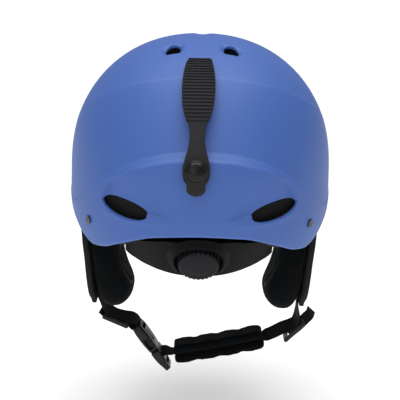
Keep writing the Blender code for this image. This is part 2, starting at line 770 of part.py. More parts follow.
def ribbon(name, path, mat, width=STRAP_WIDTH, thick=STRAP_THICK):
    """Flat strap along a path in the X-Z plane."""
    points = curve_points(path, 3 * len(path))
    tangents = np.gradient(points, axis=0)
    tangents /= np.linalg.norm(tangents, axis=1, keepdims=True)
    rings = []
    for p, t in zip(points, tangents):
        n = np.array([-t[1], t[0]]) * thick / 2
        a, b = p - n, p + n
        low, high = STRAP_Y - width / 2, STRAP_Y + width / 2
        rings.append([(a[0], low, a[1]), (a[0], high, a[1]), (b[0], high, b[1]),
                      (b[0], low, b[1])])
    return loft(name, rings, mat)


def slab(name, centre, direction, length, width, thick, mat):
    """Chamfered block lying along a direction in the X-Z plane."""
    d = np.array(direction, float)
    d /= np.linalg.norm(d)
    n = np.array([-d[1], d[0]])

    def place(u, v, w):
        p = np.array(centre) + d * u + n * v
        return (p[0], STRAP_Y + w, p[1])

    h = thick / 2
    c = min(1.2, h * 0.6)
    l = length / 2
    outline = [(-l + c, -h), (l - c, -h), (l, -h + c), (l, h - c), (l - c, h), (-l + c, h),
               (-l, h - c), (-l, -h + c)]
    return prism(name, outline, place, -width / 2, width / 2, mat)


def make_adjusters(mats):
    """Strap adjusters: a frame with a middle bar, laid against the webbing."""
    places = (("left", (-70.5, -213.9), (9.5, -4.0)), ("right", (83.5, -220.6), (9, 8.5)))
    for hand, centre, direction in places:
        frame = slab(f"adjuster_{hand}", centre, direction, 24, 22, 3.4, mats["buckle"])
        for k, offset in enumerate((-5.4, 5.4)):
            d = np.array(direction, float)
            d /= np.linalg.norm(d)
            window = slab(f"adjuster_window_{hand}_{k}", np.array(centre) + d * offset,
                          direction, 5.2, STRAP_WIDTH + 1, 8, mats["buckle"])
            cut(frame, window)


def make_straps(mats):
    ribbon("webbing_left", LEFT_STRAP, mats["webbing"])
    ribbon("webbing_right", RIGHT_STRAP, mats["webbing"])
    ribbon("webbing_chin", CHIN_STRAP, mats["webbing"])
    ribbon("webbing_link", LINK_STRAP, mats["webbing"])
    ribbon("webbing_tail", TAIL_STRAP, mats["webbing"])
    for side, hand in ((-1, "left"), (1, "right")):
        inner, outer, low, high = HANGER
        outline = [(side * inner, low), (side * outer, low), (side * outer, high),
                   (side * inner, high)]
        prism(f"strap_hanger_{hand}", outline, across, STRAP_Y - 9, STRAP_Y + 9, mats["buckle"])


def make_chin_pad(mats):
    """Two quilted fleece halves with the webbing between them."""
    path = curve_points(CHIN_STRAP, 200)
    inside = path[(path[:, 0] >= CHIN_PAD_SPAN[0]) & (path[:, 0] <= CHIN_PAD_SPAN[1])]
    samples = inside[np.linspace(0, len(inside) - 1, CHIN_PAD_LOBES * 6 + 1).astype(int)]
    tangents = np.gradient(samples, axis=0)
    tangents /= np.linalg.norm(tangents, axis=1, keepdims=True)
    for name, sign in (("chin_pad_upper", 1), ("chin_pad_lower", -1)):
        rings = []
        for k, (p, t) in enumerate(zip(samples, tangents)):
            n = np.array([-t[1], t[0]]) * sign
            phase = (k % 6) / 6
            swell = abs(math.sin(math.pi * phase)) ** 0.45 if phase else 0.0
            thick = CHIN_PAD_THICK * (0.42 + 0.58 * swell)
            half = CHIN_PAD_WIDTH / 2 * (0.86 + 0.14 * swell)
            a = p + n * (STRAP_THICK / 2 + GAP)
            b = a + n * thick
            c = a + n * thick * 0.55
            rings.append([(a[0], STRAP_Y - half, a[1]), (c[0], STRAP_Y - half, c[1]),
                          (b[0], STRAP_Y - half * 0.72, b[1]),
                          (b[0], STRAP_Y + half * 0.72, b[1]),
                          (c[0], STRAP_Y + half, c[1]), (a[0], STRAP_Y + half, a[1])])
        loft(name, rings, mats["fleece"])


def buckle_place(u, v, w):
    """Along the buckle, across it in Y, and through its thickness."""
    start = np.array(BUCKLE_START)
    d = np.array(BUCKLE_END) - start
    d = d / np.linalg.norm(d)
    n = np.array([-d[1], d[0]])
    p = start + d * u + n * w
    return (p[0], STRAP_Y + v, p[1])


def make_buckle(mats):
    half = BUCKLE_WIDTH / 2
    thick = BUCKLE_THICK / 2
    outline = [(0, -half + 3), (2, -half), (SOCKET_LENGTH - 2, -half), (SOCKET_LENGTH, -half + 2),
               (SOCKET_LENGTH, half - 2), (SOCKET_LENGTH - 2, half), (2, half), (0, half - 3)]
    socket = prism("buckle_socket", outline, buckle_place, -thick, thick, mats["buckle"])
    mouth = prism("socket_mouth", [(9, -half + 2), (SOCKET_LENGTH + 5, -half + 2),
                                   (SOCKET_LENGTH + 5, half - 2), (9, half - 2)],
                  buckle_place, -thick + 1.8, thick - 1.8, mats["buckle"])
    cut(socket, mouth)
    for sign in (-1, 1):
        window = prism(f"socket_side_{'a' if sign < 0 else 'b'}",
                       [(13, sign * (half - 4)), (23, sign * (half - 4)),
                        (23, sign * (half + 3)), (13, sign * (half + 3))],
                       buckle_place, -thick + 2.3, thick - 2.3, mats["buckle"])
        cut(socket, window)
    slot = prism("socket_slot", [(3, -8.6), (6.6, -8.6), (6.6, 8.6), (3, 8.6)], buckle_place,
                 -10, 10, mats["buckle"])
    cut(socket, slot)
    tail = [(SOCKET_LENGTH + 0.4, -half + 1), (SOCKET_LENGTH + 4, -half), (PLUG_LENGTH - 3, -half),
            (PLUG_LENGTH, -half + 3), (PLUG_LENGTH, half - 3), (PLUG_LENGTH - 3, half),
            (SOCKET_LENGTH + 4, half), (SOCKET_LENGTH + 0.4, half - 1)]
    plug = prism("buckle_plug", tail, buckle_place, -thick * 0.8, thick * 0.8, mats["buckle"])
    tongue = prism("plug_tongue", [(12, -3), (SOCKET_LENGTH + 1, -3), (SOCKET_LENGTH + 1, 3),
                                   (12, 3)], buckle_place, -2, 2, mats["buckle"])
    cut(plug, tongue, "UNION")
    bar_slot = prism("plug_slot", [(31, -9), (36, -9), (36, 9), (31, 9)], buckle_place, -10, 10,
                     mats["buckle"])
    cut(plug, bar_slot)
    end_slot = prism("plug_end_slot", [(39.5, -9), (43.5, -9), (43.5, 9), (39.5, 9)],
                     buckle_place, -10, 10, mats["buckle"])
    cut(plug, end_slot)
    release = pivot("buckle_axis", buckle_place(SOCKET_LENGTH, 0, 0))
    parent_to(plug, release)
    for name, sign in (("latch_back", -1), ("latch_front", 1)):
        arm = [(SOCKET_LENGTH - 0.4, sign * 5.0), (SOCKET_LENGTH - 0.4, sign * 7.4),
               (23, sign * 8.4), (22.2, sign * 10.6), (14, sign * 10.2), (12.4, sign * 8.6),
               (14, sign * 6.8), (20, sign * 6.0)]
        if sign < 0:
            arm = arm[::-1]
        piece = prism(name, arm, buckle_place, -1.7, 1.7, mats["buckle"])
        root = pivot(f"{name}_axis", buckle_place(SOCKET_LENGTH - 0.4, sign * 6.2, 0))
        parent_to(root, release)
        parent_to(piece, root)
    for name in ("webbing_chin", "chin_pad_upper", "chin_pad_lower"):
        parent_to(bpy.data.objects[name], release)


# ---------------------------------------------------------------- whole helmet


def make_materials():
    return {
        "shell": material("shell_blue", (0.075, 0.150, 0.480), 0.55),
        "foam": material("foam_black", (0.012, 0.012, 0.014), 0.9),
        "mesh": material("vent_mesh", (0.015, 0.015, 0.016), 0.6),
        "metal": material("rivet_dark", (0.05, 0.05, 0.055), 0.35, 0.9),
        "rubber": material("rubber", (0.028, 0.027, 0.032), 0.6),
        "gloss": material("snap_plastic", (0.012, 0.012, 0.014), 0.25),
        "cradle": material("cradle_plastic", (0.010, 0.010, 0.013), 0.5),
        "dial": material("dial_plastic", (0.020, 0.019, 0.023), 0.6),
        "fleece": material("fleece", (0.006, 0.008, 0.010), 0.95),
        "fabric": material("flap_fabric", (0.010, 0.012, 0.013), 0.9),
        "webbing": material("webbing", (0.010, 0.011, 0.013), 0.85),
        "buckle": material("buckle_plastic", (0.018, 0.018, 0.020), 0.4),
    }


def main():
    for obj in list(bpy.data.objects):
        bpy.data.objects.remove(obj, do_unlink=True)
    mats = make_materials()
    shell = make_shell(mats)
    liner = make_liner(mats)
    make_vents(shell, liner, mats)
    make_rivets(shell, mats)
    make_pads(mats)
    make_clip(mats)
    axis = make_cradle(mats)
    make_housing(axis, mats)
    make_dial(axis, mats)
    make_racks(axis, mats)
    make_belts(mats)
    make_ear_pads(mats)
    make_straps(mats)
    make_adjusters(mats)
    make_chin_pad(mats)
    make_buckle(mats)
    bpy.context.view_layer.update()


main()
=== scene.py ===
# %% [markdown]
# # A ski helmet, seen from behind
#
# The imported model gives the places: where the shell, the straps and the buckle are, and which
# body each one moves with.  This script gives them their looks.  Lengths are in millimetres and
# become metres when a mesh is made.

import json
import math

import bmesh
import bpy
import numpy as np
from mathutils import Matrix, Vector

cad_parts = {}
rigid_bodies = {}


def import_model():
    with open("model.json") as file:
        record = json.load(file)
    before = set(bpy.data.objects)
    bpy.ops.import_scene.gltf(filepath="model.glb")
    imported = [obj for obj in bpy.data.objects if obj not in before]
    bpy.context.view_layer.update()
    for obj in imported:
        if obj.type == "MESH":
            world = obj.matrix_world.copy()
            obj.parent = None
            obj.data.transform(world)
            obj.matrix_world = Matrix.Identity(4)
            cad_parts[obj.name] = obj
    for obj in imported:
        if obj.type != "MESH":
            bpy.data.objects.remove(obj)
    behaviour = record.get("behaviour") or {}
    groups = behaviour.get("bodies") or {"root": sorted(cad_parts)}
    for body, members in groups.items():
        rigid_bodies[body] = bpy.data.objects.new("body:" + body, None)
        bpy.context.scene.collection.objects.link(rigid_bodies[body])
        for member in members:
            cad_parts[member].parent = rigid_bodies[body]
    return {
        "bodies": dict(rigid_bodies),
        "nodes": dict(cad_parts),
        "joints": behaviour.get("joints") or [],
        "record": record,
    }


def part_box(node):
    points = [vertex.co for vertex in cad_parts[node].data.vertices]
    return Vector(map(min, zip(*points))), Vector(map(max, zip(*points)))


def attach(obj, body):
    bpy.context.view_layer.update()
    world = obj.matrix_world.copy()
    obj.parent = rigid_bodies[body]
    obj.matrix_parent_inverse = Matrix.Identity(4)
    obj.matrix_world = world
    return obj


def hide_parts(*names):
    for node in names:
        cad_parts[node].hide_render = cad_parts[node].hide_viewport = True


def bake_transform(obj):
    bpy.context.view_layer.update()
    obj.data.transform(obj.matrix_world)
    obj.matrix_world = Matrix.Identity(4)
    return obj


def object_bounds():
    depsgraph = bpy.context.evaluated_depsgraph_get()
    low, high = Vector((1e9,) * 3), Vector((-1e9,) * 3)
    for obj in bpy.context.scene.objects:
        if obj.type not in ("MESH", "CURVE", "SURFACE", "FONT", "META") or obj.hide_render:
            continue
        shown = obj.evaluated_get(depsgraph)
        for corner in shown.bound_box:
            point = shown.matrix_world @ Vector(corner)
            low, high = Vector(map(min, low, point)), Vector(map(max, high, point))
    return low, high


for extra in list(bpy.data.objects):
    bpy.data.objects.remove(extra)
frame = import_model()
cad_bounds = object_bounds()

MM = 0.001
NODES = frame["nodes"]


def corner(node, which):
    """Lowest (0) or highest (1) corner of a node in millimetres."""
    return Vector(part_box(node)[which]) / MM


# %% [markdown]
# ## Driving sizes
#
# The hard shell is a superellipse outline lifted into a dome.  Its half width, half length and
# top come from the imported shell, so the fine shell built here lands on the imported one.  The rim,
# the crease and the ledge are heights over the widest plane, given by azimuth from the back.

# %% Sizes of the shell
HALF_WIDTH = corner("shell_outer", 1).x
HALF_LENGTH = corner("shell_outer", 1).y
SHELL_TOP = corner("shell_outer", 1).z
DOME_HEIGHT = 107.5
WIDEST_Z = SHELL_TOP - DOME_HEIGHT
OUTLINE_POWER = 2.25
DOME_POWER = 2.15
SHELL_WALL = 2.2
LEDGE_OUT = 3.0
BAND_IN = 5.0
CAVITY_HALF_WIDTH = 84.0
CAVITY_HALF_LENGTH = 112.0
CAVITY_TOP = 8.0
RIM = [(0, -33), (14, -35), (27, -43), (38, -50.5), (45, -52), (53, -47), (62, -38), (75, -29),
       (92, -24), (112, -22), (132, -18), (152, -12), (180, -9)]
REAR_VENT = dict(azimuth=25.6, height=-14.5, long=21.6, short=6.9, slant=-11.5)
TOP_VENT = dict(azimuth=27.0, height=100.6, long=6.6, short=5.3, slant=70.0)
FRONT_VENT = dict(azimuth=146.0, height=99.0, long=8.5, short=5.3, slant=110.0)
VENTS = (("rear", REAR_VENT), ("top", TOP_VENT), ("front", FRONT_VENT))
SIDES = ((-1, "left"), (1, "right"))
print("shell", round(2 * HALF_WIDTH), "x", round(2 * HALF_LENGTH), "mm")

# %% [markdown]
# ## The camera
#
# The helmet hangs as if worn and is seen from straight behind, twelve degrees above level, with
# the camera turned one degree about its own line of sight.  A long lens keeps the near back of
# the shell from looking too large.

# %% Camera
VIEW_DISTANCE = 1150.0
VIEW_ELEVATION = math.radians(12.0)
VIEW_ROLL = math.radians(1.0)
VIEW_TARGET = Vector((0.25, 0, WIDEST_Z - 33.0))
LENS = 121.8


def add_camera():
    camera = bpy.data.objects.new("camera", bpy.data.cameras.new("camera"))
    bpy.context.scene.collection.objects.link(camera)
    camera.data.lens = LENS
    camera.data.clip_end = 20
    back = Vector((0, -math.cos(VIEW_ELEVATION), math.sin(VIEW_ELEVATION)))
    level = Vector((1, 0, 0))
    rise = back.cross(level)
    right = level * math.cos(VIEW_ROLL) + rise * math.sin(VIEW_ROLL)
    above = rise * math.cos(VIEW_ROLL) - level * math.sin(VIEW_ROLL)
    turn = Matrix((right, above, back)).transposed().to_4x4()
    place = (VIEW_TARGET + back * VIEW_DISTANCE) * MM
    camera.matrix_world = Matrix.Translation(place) @ turn
    bpy.context.scene.camera = camera
    return camera


camera = add_camera()
print("camera at", [round(v, 3) for v in camera.matrix_world.translation])

# %% [markdown]
# ## Floor and light
#
# The helmet has soft light from all round: a bright room, a large lamp over its top and a weaker
# one behind it, to the left.  The floor is flat and plain, a little below the hanging strap.  It
# glows a little, more so far away, because the lamps only reach the middle of it.

# %% Floor and lights
FLOOR_Z = cad_bounds[0][2] / MM - 42.0
FLOOR_REACH = 9.0
FLOOR_GLOW = {"From Min": 0.5, "From Max": 2.2, "To Min": 0.34, "To Max": 0.72}
ROOM_LIGHT = 0.34


def add_floor():
    """Flat floor with no wall, so that the helmet can be seen from every side."""
    corners = ((-1, -1), (1, -1), (1, 1), (-1, 1))
    verts = [(x * FLOOR_REACH, y * FLOOR_REACH, FLOOR_Z * MM) for x, y in corners]
    mesh = bpy.data.meshes.new("floor")
    mesh.from_pydata(verts, [], [(0, 1, 2, 3)])
    floor = bpy.data.objects.new("floor", mesh)
    bpy.context.scene.collection.objects.link(floor)
    paint = bpy.data.materials.new("floor_paint")
    paint.use_nodes = True
    nodes, links = paint.node_tree.nodes, paint.node_tree.links
    shader = nodes["Principled BSDF"]
    shader.inputs["Base Color"].default_value = (0.93, 0.93, 0.93, 1)
    shader.inputs["Roughness"].default_value = 0.9
    shader.inputs["Emission Strength"].default_value = 1.0
    place = nodes.new("ShaderNodeTexCoord")
    away = nodes.new("ShaderNodeVectorMath")
    away.operation = "LENGTH"
    glow = nodes.new("ShaderNodeMapRange")
    for name, value in FLOOR_GLOW.items():
        glow.inputs[name].default_value = value
    links.new(place.outputs["Object"], away.inputs[0])
    links.new(away.outputs["Value"], glow.inputs["Value"])
    links.new(glow.outputs["Result"], shader.inputs["Emission Color"])
    floor.data.materials.append(paint)
    return floor


def add_lamp(name, place, aim, size, power):
    lamp = bpy.data.objects.new(name, bpy.data.lights.new(name, "AREA"))
    lamp.data.size = size
    lamp.data.energy = power
    lamp.location = place
    lamp.rotation_euler = (Vector(aim) - Vector(place)).to_track_quat("-Z", "Y").to_euler()
    bpy.context.scene.collection.objects.link(lamp)
    return lamp


def light_room():
    scene = bpy.context.scene
    world = scene.world or bpy.data.worlds.new("room")
    scene.world = world
    world.use_nodes = True
    world.node_tree.nodes["Background"].inputs["Color"].default_value = (1, 1, 1, 1)
    world.node_tree.nodes["Background"].inputs["Strength"].default_value = ROOM_LIGHT
    scene.view_settings.view_transform = "Standard"
    add_lamp("lamp_top", (0.0, -0.1, 1.1), (0, 0, -0.05), 1.3, 17)
    add_lamp("lamp_back", (-0.45, -1.3, 0.5), (0, 0, -0.1), 1.0, 3)


add_floor()
light_room()
print("floor at", round(FLOOR_Z), "mm")

# %% [markdown]
# ## Shader words
#
# A material is a sum of small patterns.  Writing `1 - mask * 0.3` is easier to read than four
# nodes, so `Value` wraps a socket and each operator adds the Math node it stands for.  Every
# other node comes from `Finish.add`.

# %% Value and Finish


def feed(tree, slot, item):
    """Link a Value into an input, or set a plain number or colour on it."""
    if isinstance(item, Value):
        tree.links.new(item.socket, slot)
    else:
        slot.default_value = item


class Value:
    """A number socket that understands + - * / and a few functions."""

    def __init__(self, tree, socket):
        self.tree = tree
        self.socket = socket

    def math(self, operation, *others, clamp=False):
        node = self.tree.nodes.new("ShaderNodeMath")
        node.operation = operation
        node.use_clamp = clamp
        for slot, item in zip(node.inputs, (self, *others)):
            feed(self.tree, slot, item)
        return Value(self.tree, node.outputs[0])

    def reversed(self, operation, first):
        node = self.tree.nodes.new("ShaderNodeMath")
        node.operation = operation
        node.inputs[0].default_value = first
        self.tree.links.new(self.socket, node.inputs[1])
        return Value(self.tree, node.outputs[0])

    def __add__(self, other):
        return self.math("ADD", other)

    __radd__ = __add__

    def __mul__(self, other):
        return self.math("MULTIPLY", other)

    __rmul__ = __mul__

    def __sub__(self, other):
        return self.math("SUBTRACT", other)

    def __rsub__(self, other):
        return self.reversed("SUBTRACT", other)

    def __truediv__(self, other):
        return self.math("DIVIDE", other)

    def __pow__(self, other):
        return self.math("POWER", other)

    def clamp(self):
        return self.math("ADD", 0.0, clamp=True)

    def sine(self):
        return self.math("SINE")

    def absolute(self):
        return self.math("ABSOLUTE")

    def maximum(self, other):
        return self.math("MAXIMUM", other)


class Finish:
    """One material under construction."""

    def __init__(self, name, roughness=0.5, metallic=0.0, **extras):
        self.material = bpy.data.materials.new(name)
        self.material.use_nodes = True
        self.tree = self.material.node_tree
        self.shader = self.tree.nodes["Principled BSDF"]
        self.shader.inputs["Roughness"].default_value = roughness
        self.shader.inputs["Metallic"].default_value = metallic
        for key, value in extras.items():
            self.shader.inputs[key.replace("_", " ")].default_value = value

    def add(self, kind, out=0, sockets=None, **settings):
        node = self.tree.nodes.new(kind)
        stops = settings.pop("stops", None)
        for key, value in settings.items():
            setattr(node, key, value)
        if stops:
            ramp = node.color_ramp
            while len(ramp.elements) < len(stops):
                ramp.elements.new(0.5)
            for element, (place, colour) in zip(ramp.elements, stops):
                element.position = place
                element.color = (*colour, 1)
        for key, value in (sockets or {}).items():
            feed(self.tree, node.inputs[key], value)
        return Value(self.tree, node.outputs[out])

    def place(self, kind="Object"):
        return self.add("ShaderNodeTexCoord", out=kind)

    def parts(self, vector):
        split = self.tree.nodes.new("ShaderNodeSeparateXYZ")
        self.tree.links.new(vector.socket, split.inputs[0])
        return [Value(self.tree, socket) for socket in split.outputs]

    def noise(self, scale, detail=3.0, rough=0.5, vector=None, distortion=0.0):
        return self.add("ShaderNodeTexNoise", sockets={
            "Vector": vector or self.place(), "Scale": scale, "Detail": detail,
            "Roughness": rough, "Distortion": distortion})

    def cells(self, scale, vector=None, feature="F1"):
        return self.add("ShaderNodeTexVoronoi", feature=feature, sockets={
            "Vector": vector or self.place(), "Scale": scale})

    def mix(self, share, first, second):
        node = self.tree.nodes.new("ShaderNodeMix")
        node.data_type = "RGBA"
        for slot, item in zip((node.inputs[0], node.inputs[6], node.inputs[7]),
                              (share, first, second)):
            feed(self.tree, slot, (*item, 1) if isinstance(item, tuple) else item)
        return Value(self.tree, node.outputs[2])

    def colour(self, value):
        self.link(value, "Base Color")

    def rough(self, value):
        self.link(value, "Roughness")

    def bump(self, height, depth_mm, strength=1.0):
        normal = self.add("ShaderNodeBump", sockets={
            "Strength": strength, "Distance": depth_mm * MM, "Height": height})
        self.link(normal, "Normal")

    def link(self, value, name):
        self.tree.links.new(value.socket, self.shader.inputs[name])


print("shader words ready")

# %% [markdown]
# ## The finishes
#
# The shell is matte moulded plastic: its colour barely changes, and a very fine grain breaks the
# highlight.  Black parts only read as different materials through their roughness and relief:
# satin plastic on the buckle, fleece with a soft fuzz on the pads, woven webbing on the straps.

# %% Plastics and metal


def shell_paint():
    """Matte blue shell, with a fine grain, faint clouds and a painted highlight along the crease,
    ledge and rim, broken up by scuff noise.
    """
    f = Finish("shell_blue_matte", roughness=0.5, Specular_IOR_Level=0.42)
    clouds = f.noise(14, detail=2)
    grain = f.noise(2600, detail=2, rough=0.7)
    scuffs = f.noise(60, detail=6, rough=0.75, distortion=0.6)
    # Painted highlight: the edge attribute marks the crease, the ledge and the rim, and the mix
    # lightens the blue there in patches.
    crease_highlight = f.add("ShaderNodeAttribute", out="Fac", attribute_name="edge")
    base = f.mix(clouds, (0.042, 0.108, 0.372), (0.050, 0.123, 0.404))
    highlight_share = (crease_highlight * (scuffs * 1.6 - 0.35).clamp()).clamp()
    f.colour(f.mix(highlight_share * 0.35, base, (0.14, 0.23, 0.58)))
    f.rough(0.50 + grain * 0.08 - highlight_share * 0.08)
    f.bump(grain * 0.5 + scuffs * 0.06, 0.05, 0.5)
    return f.material


def moulded(name, dark, light, roughness, grain_depth=0.03, scale=1500, shine=0.25):
    """Moulded plastic: two near colours, a spark-eroded grain and faint handling marks."""
    f = Finish(name, roughness=roughness, Specular_IOR_Level=shine)
    grain = f.noise(scale, detail=3, rough=0.65)
    marks = f.noise(120, detail=6, rough=0.7, distortion=0.8)
    f.colour(f.mix((grain * 0.6 + marks * 0.4).clamp(), dark, light))
    f.rough(roughness + (marks - 0.5) * 0.16)
    f.bump(grain + marks * 0.3, grain_depth, 0.6)
    return f.material


def dark_metal():
    f = Finish("rivet_lacquer", roughness=0.35, metallic=0.85)
    wear = f.noise(900, detail=5, rough=0.7)
    f.colour(f.mix((wear * 1.5 - 0.4).clamp(), (0.03, 0.03, 0.033), (0.12, 0.12, 0.125)))
    f.rough(0.28 + wear * 0.2)
    f.bump(wear, 0.02, 0.4)
    return f.material


def clip_rubber():
    """Moulded rubber: dull, with lighter dusty patches at random."""
    f = Finish("clip_rubber", roughness=0.62, Specular_IOR_Level=0.2)
    dust = f.noise(220, detail=6, rough=0.65)
    grain = f.noise(2400, detail=2)
    f.colour(f.mix((dust * 1.4 - 0.4).clamp(), (0.013, 0.0122, 0.0155), (0.024, 0.0225, 0.027)))
    f.rough(0.56 + dust * 0.14)
    f.bump(grain + dust * 0.3, 0.03, 0.5)
    return f.material


def bead_foam():
    """Black bead foam: fused round cells a few millimetres across."""
    f = Finish("bead_foam", roughness=0.8, Specular_IOR_Level=0.3)
    warp = f.place()
    cell = f.cells(330, warp)
    edge = f.cells(330, warp, feature="DISTANCE_TO_EDGE")
    seam = (1 - edge * 9).clamp()
    f.colour(f.mix(seam, (0.009, 0.009, 0.010), (0.003, 0.003, 0.004)))
    f.rough(0.78 + cell * 0.1)
    f.bump(1 - seam, 0.25, 0.7)
    return f.material


# %% Cloths


def fleece(name="fleece_black"):
    """Brushed fleece: short curled pile, so a soft blur over clumps of fibre."""
    f = Finish(name, roughness=0.95, Sheen_Weight=0.05, Sheen_Roughness=0.4,
               Specular_IOR_Level=0.05)
    clumps = f.noise(260, detail=5, rough=0.65, distortion=1.2)
    fibres = f.noise(1900, detail=4, rough=0.8, distortion=2.0)
    broad = f.noise(45, detail=3)
    pile = clumps * 0.6 + fibres * 0.4
    f.colour(f.mix((pile * 1.3 - 0.2).clamp(), (0.0010, 0.0016, 0.0022),
                   (0.0048, 0.0062, 0.0075)))
    f.rough(0.88 + broad * 0.1)
    f.bump(pile + broad * 0.5, 0.9, 0.8)
    return f.material


def woven(name, dark, light, across, along, depth=0.22):
    """Woven tape or cloth on its own UV map, whose units are metres along and across."""
    f = Finish(name, roughness=0.8, Sheen_Weight=0.05, Sheen_Roughness=0.4,
               Specular_IOR_Level=0.15)
    u, v, _ = f.parts(f.place("UV"))
    warp = (u * (2 * math.pi / (across * MM))).sine()
    weft = (v * (2 * math.pi / (along * MM))).sine()
    over = (warp * weft * 0.5 + 0.5).clamp()
    thread = (warp.absolute() * over + weft.absolute() * (1 - over)).clamp()
    fuzz = f.noise(1500, detail=4, rough=0.7)
    f.colour(f.mix((thread * 0.75 + fuzz * 0.25).clamp(), dark, light))
    f.rough(0.72 + fuzz * 0.16)
    f.bump(thread + fuzz * 0.3, depth, 0.8)
    return f.material


def thread_finish():
    f = Finish("stitch_thread", roughness=0.7, Sheen_Weight=0.2)
    twist = f.noise(2500, detail=3)
    f.colour(f.mix(twist, (0.012, 0.012, 0.014), (0.035, 0.035, 0.038)))
    f.bump(twist, 0.05, 0.5)
    return f.material


PAINT = {
    "shell": shell_paint(),
    "foam": bead_foam(),
    "mesh": moulded("mesh_nylon", (0.008, 0.008, 0.009), (0.018, 0.018, 0.019), 0.6),
    "metal": dark_metal(),
    "rubber": clip_rubber(),
    "gloss": moulded("snap_gloss", (0.003, 0.003, 0.004), (0.006, 0.006, 0.007), 0.26, 0.01),
    "cradle": moulded("cradle_satin", (0.0016, 0.0016, 0.0026), (0.0036, 0.0036, 0.005), 0.55,
                      shine=0.08),
    "dial": moulded("dial_satin", (0.008, 0.0078, 0.010), (0.014, 0.0135, 0.017), 0.55, 0.05,
                    shine=0.12),
    "buckle": moulded("buckle_acetal", (0.007, 0.0075, 0.009), (0.014, 0.0145, 0.016), 0.36),
    "fleece": fleece(),
    "flap": woven("flap_cloth", (0.003, 0.0042, 0.005), (0.010, 0.012, 0.013), 0.9, 0.9, 0.1),
    "binding": woven("binding_tape", (0.006, 0.007, 0.0075), (0.015, 0.017, 0.018), 0.7, 0.9),
    "webbing": woven("webbing_weave", (0.003, 0.0035, 0.0042), (0.011, 0.012, 0.014), 1.5, 2.0),
    "thread": thread_finish(),
}
print("finishes:", ", ".join(PAINT))

# %% [markdown]
# ## Mesh words
#
# Most pieces are rings joined into a skin: a strap is a small rounded section carried along a
# path, a pad is a stack of rounded sections, a knob is a circle turned about its axis.  Repeated
# pieces such as ribs, teeth, wires and stitches are copies of one template, placed by a Geometry
# Nodes tree on points that carry their own directions.

# %% Curves and values


def smooth_value(points, x):
    """Monotone cubic value at x through listed points."""
    xs = np.array([p[0] for p in points], float)
    ys = np.array([p[1] for p in points], float)
    slopes = np.diff(ys) / np.diff(xs)
    tangents = np.zeros(len(xs))
    for i in range(1, len(xs) - 1):
        a, b = slopes[i - 1], slopes[i]
        tangents[i] = 0.0 if a * b <= 0 else 2 * a * b / (a + b)
    x = min(max(x, xs[0]), xs[-1])
    i = min(int(np.searchsorted(xs, x, side="right")) - 1, len(xs) - 2)
    step = xs[i + 1] - xs[i]
    t = (x - xs[i]) / step
    return (ys[i] * (1 + 2 * t) * (1 - t) ** 2 + tangents[i] * step * t * (1 - t) ** 2
            + ys[i + 1] * t * t * (3 - 2 * t) + tangents[i + 1] * step * t * t * (t - 1))


def curve_points(points, count):
    """Evenly spaced points along a Catmull-Rom curve through the given points."""
    pts = np.array(points, float)
    ends = np.vstack([2 * pts[0] - pts[1], pts, 2 * pts[-1] - pts[-2]])
    fine = []
    for i in range(1, len(ends) - 2):
        p0, p1, p2, p3 = ends[i - 1:i + 3]
        for t in np.linspace(0, 1, 24, endpoint=False):
            fine.append(0.5 * (2 * p1 + (p2 - p0) * t + (2 * p0 - 5 * p1 + 4 * p2 - p3) * t * t
                               + (3 * p1 - p0 - 3 * p2 + p3) * t ** 3))
    fine.append(ends[-2])
    fine = np.array(fine)
    along = np.concatenate([[0], np.cumsum(np.linalg.norm(np.diff(fine, axis=0), axis=1))])
    wanted = np.linspace(0, along[-1], count)
    return np.stack([np.interp(wanted, along, fine[:, k]) for k in range(pts.shape[1])], axis=1)


def directions(points):
    """Unit tangents along a path, and the normals a quarter turn from them in the plane."""
    tangents = np.gradient(points, axis=0)
    tangents /= np.linalg.norm(tangents, axis=1, keepdims=True)
    return tangents, np.stack([-tangents[:, 1], tangents[:, 0]], axis=1)


def ramp(x, low, high):
    """0 below low, 1 above high, smooth between."""
    t = np.clip((x - low) / (high - low), 0, 1)
    return t * t * (3 - 2 * t)


def rounded(half_u, half_v, radius, corner_points=4):
    """Rounded rectangle about the middle, as (u, v) pairs."""
    outline = []
    for su, sv, start in ((1, 1, 0), (-1, 1, 90), (-1, -1, 180), (1, -1, 270)):
        for k in range(corner_points):
            a = math.radians(start + 90 * k / (corner_points - 1))
            outline.append((su * (half_u - radius) + radius * math.cos(a),
                            sv * (half_v - radius) + radius * math.sin(a)))
    return outline


# %% Meshes


def add_piece(name, verts, faces, paint, angle=40.0, uv=None):
    """Mesh object from points in millimetres, with faces turned outwards."""
    mesh = bpy.data.meshes.new(name)
    mesh.from_pydata([tuple(p) for p in np.array(verts, float) * MM], [], faces)
    if uv is not None:
        layer = mesh.uv_layers.new(name="weave")
        for loop in mesh.loops:
            layer.data[loop.index].uv = uv[loop.vertex_index]
    bm = bmesh.new()
    bm.from_mesh(mesh)
    bmesh.ops.recalc_face_normals(bm, faces=bm.faces)
    if bm.calc_volume(signed=True) < 0:
        bmesh.ops.reverse_faces(bm, faces=bm.faces)
    bm.to_mesh(mesh)
    bm.free()
    mesh.shade_smooth()
    mesh.set_sharp_from_angle(angle=math.radians(angle))
    obj = bpy.data.objects.new(name, mesh)
    mesh.materials.append(paint)
    bpy.context.scene.collection.objects.link(obj)
    return obj


def skin(name, rings, paint, angle=40.0, uv=None):
    """Closed skin through rings with the same number of points, capped at both ends."""
    count = len(rings[0])
    verts = [p for ring in rings for p in ring]
    faces = []
    for r in range(len(rings) - 1):
        for i in range(count):
            j = (i + 1) % count
            faces.append([r * count + i, r * count + j, (r + 1) * count + j, (r + 1) * count + i])
    faces.append(list(range(count)))
    faces.append([(len(rings) - 1) * count + i for i in range(count)])
    return add_piece(name, verts, faces, paint, angle, uv)


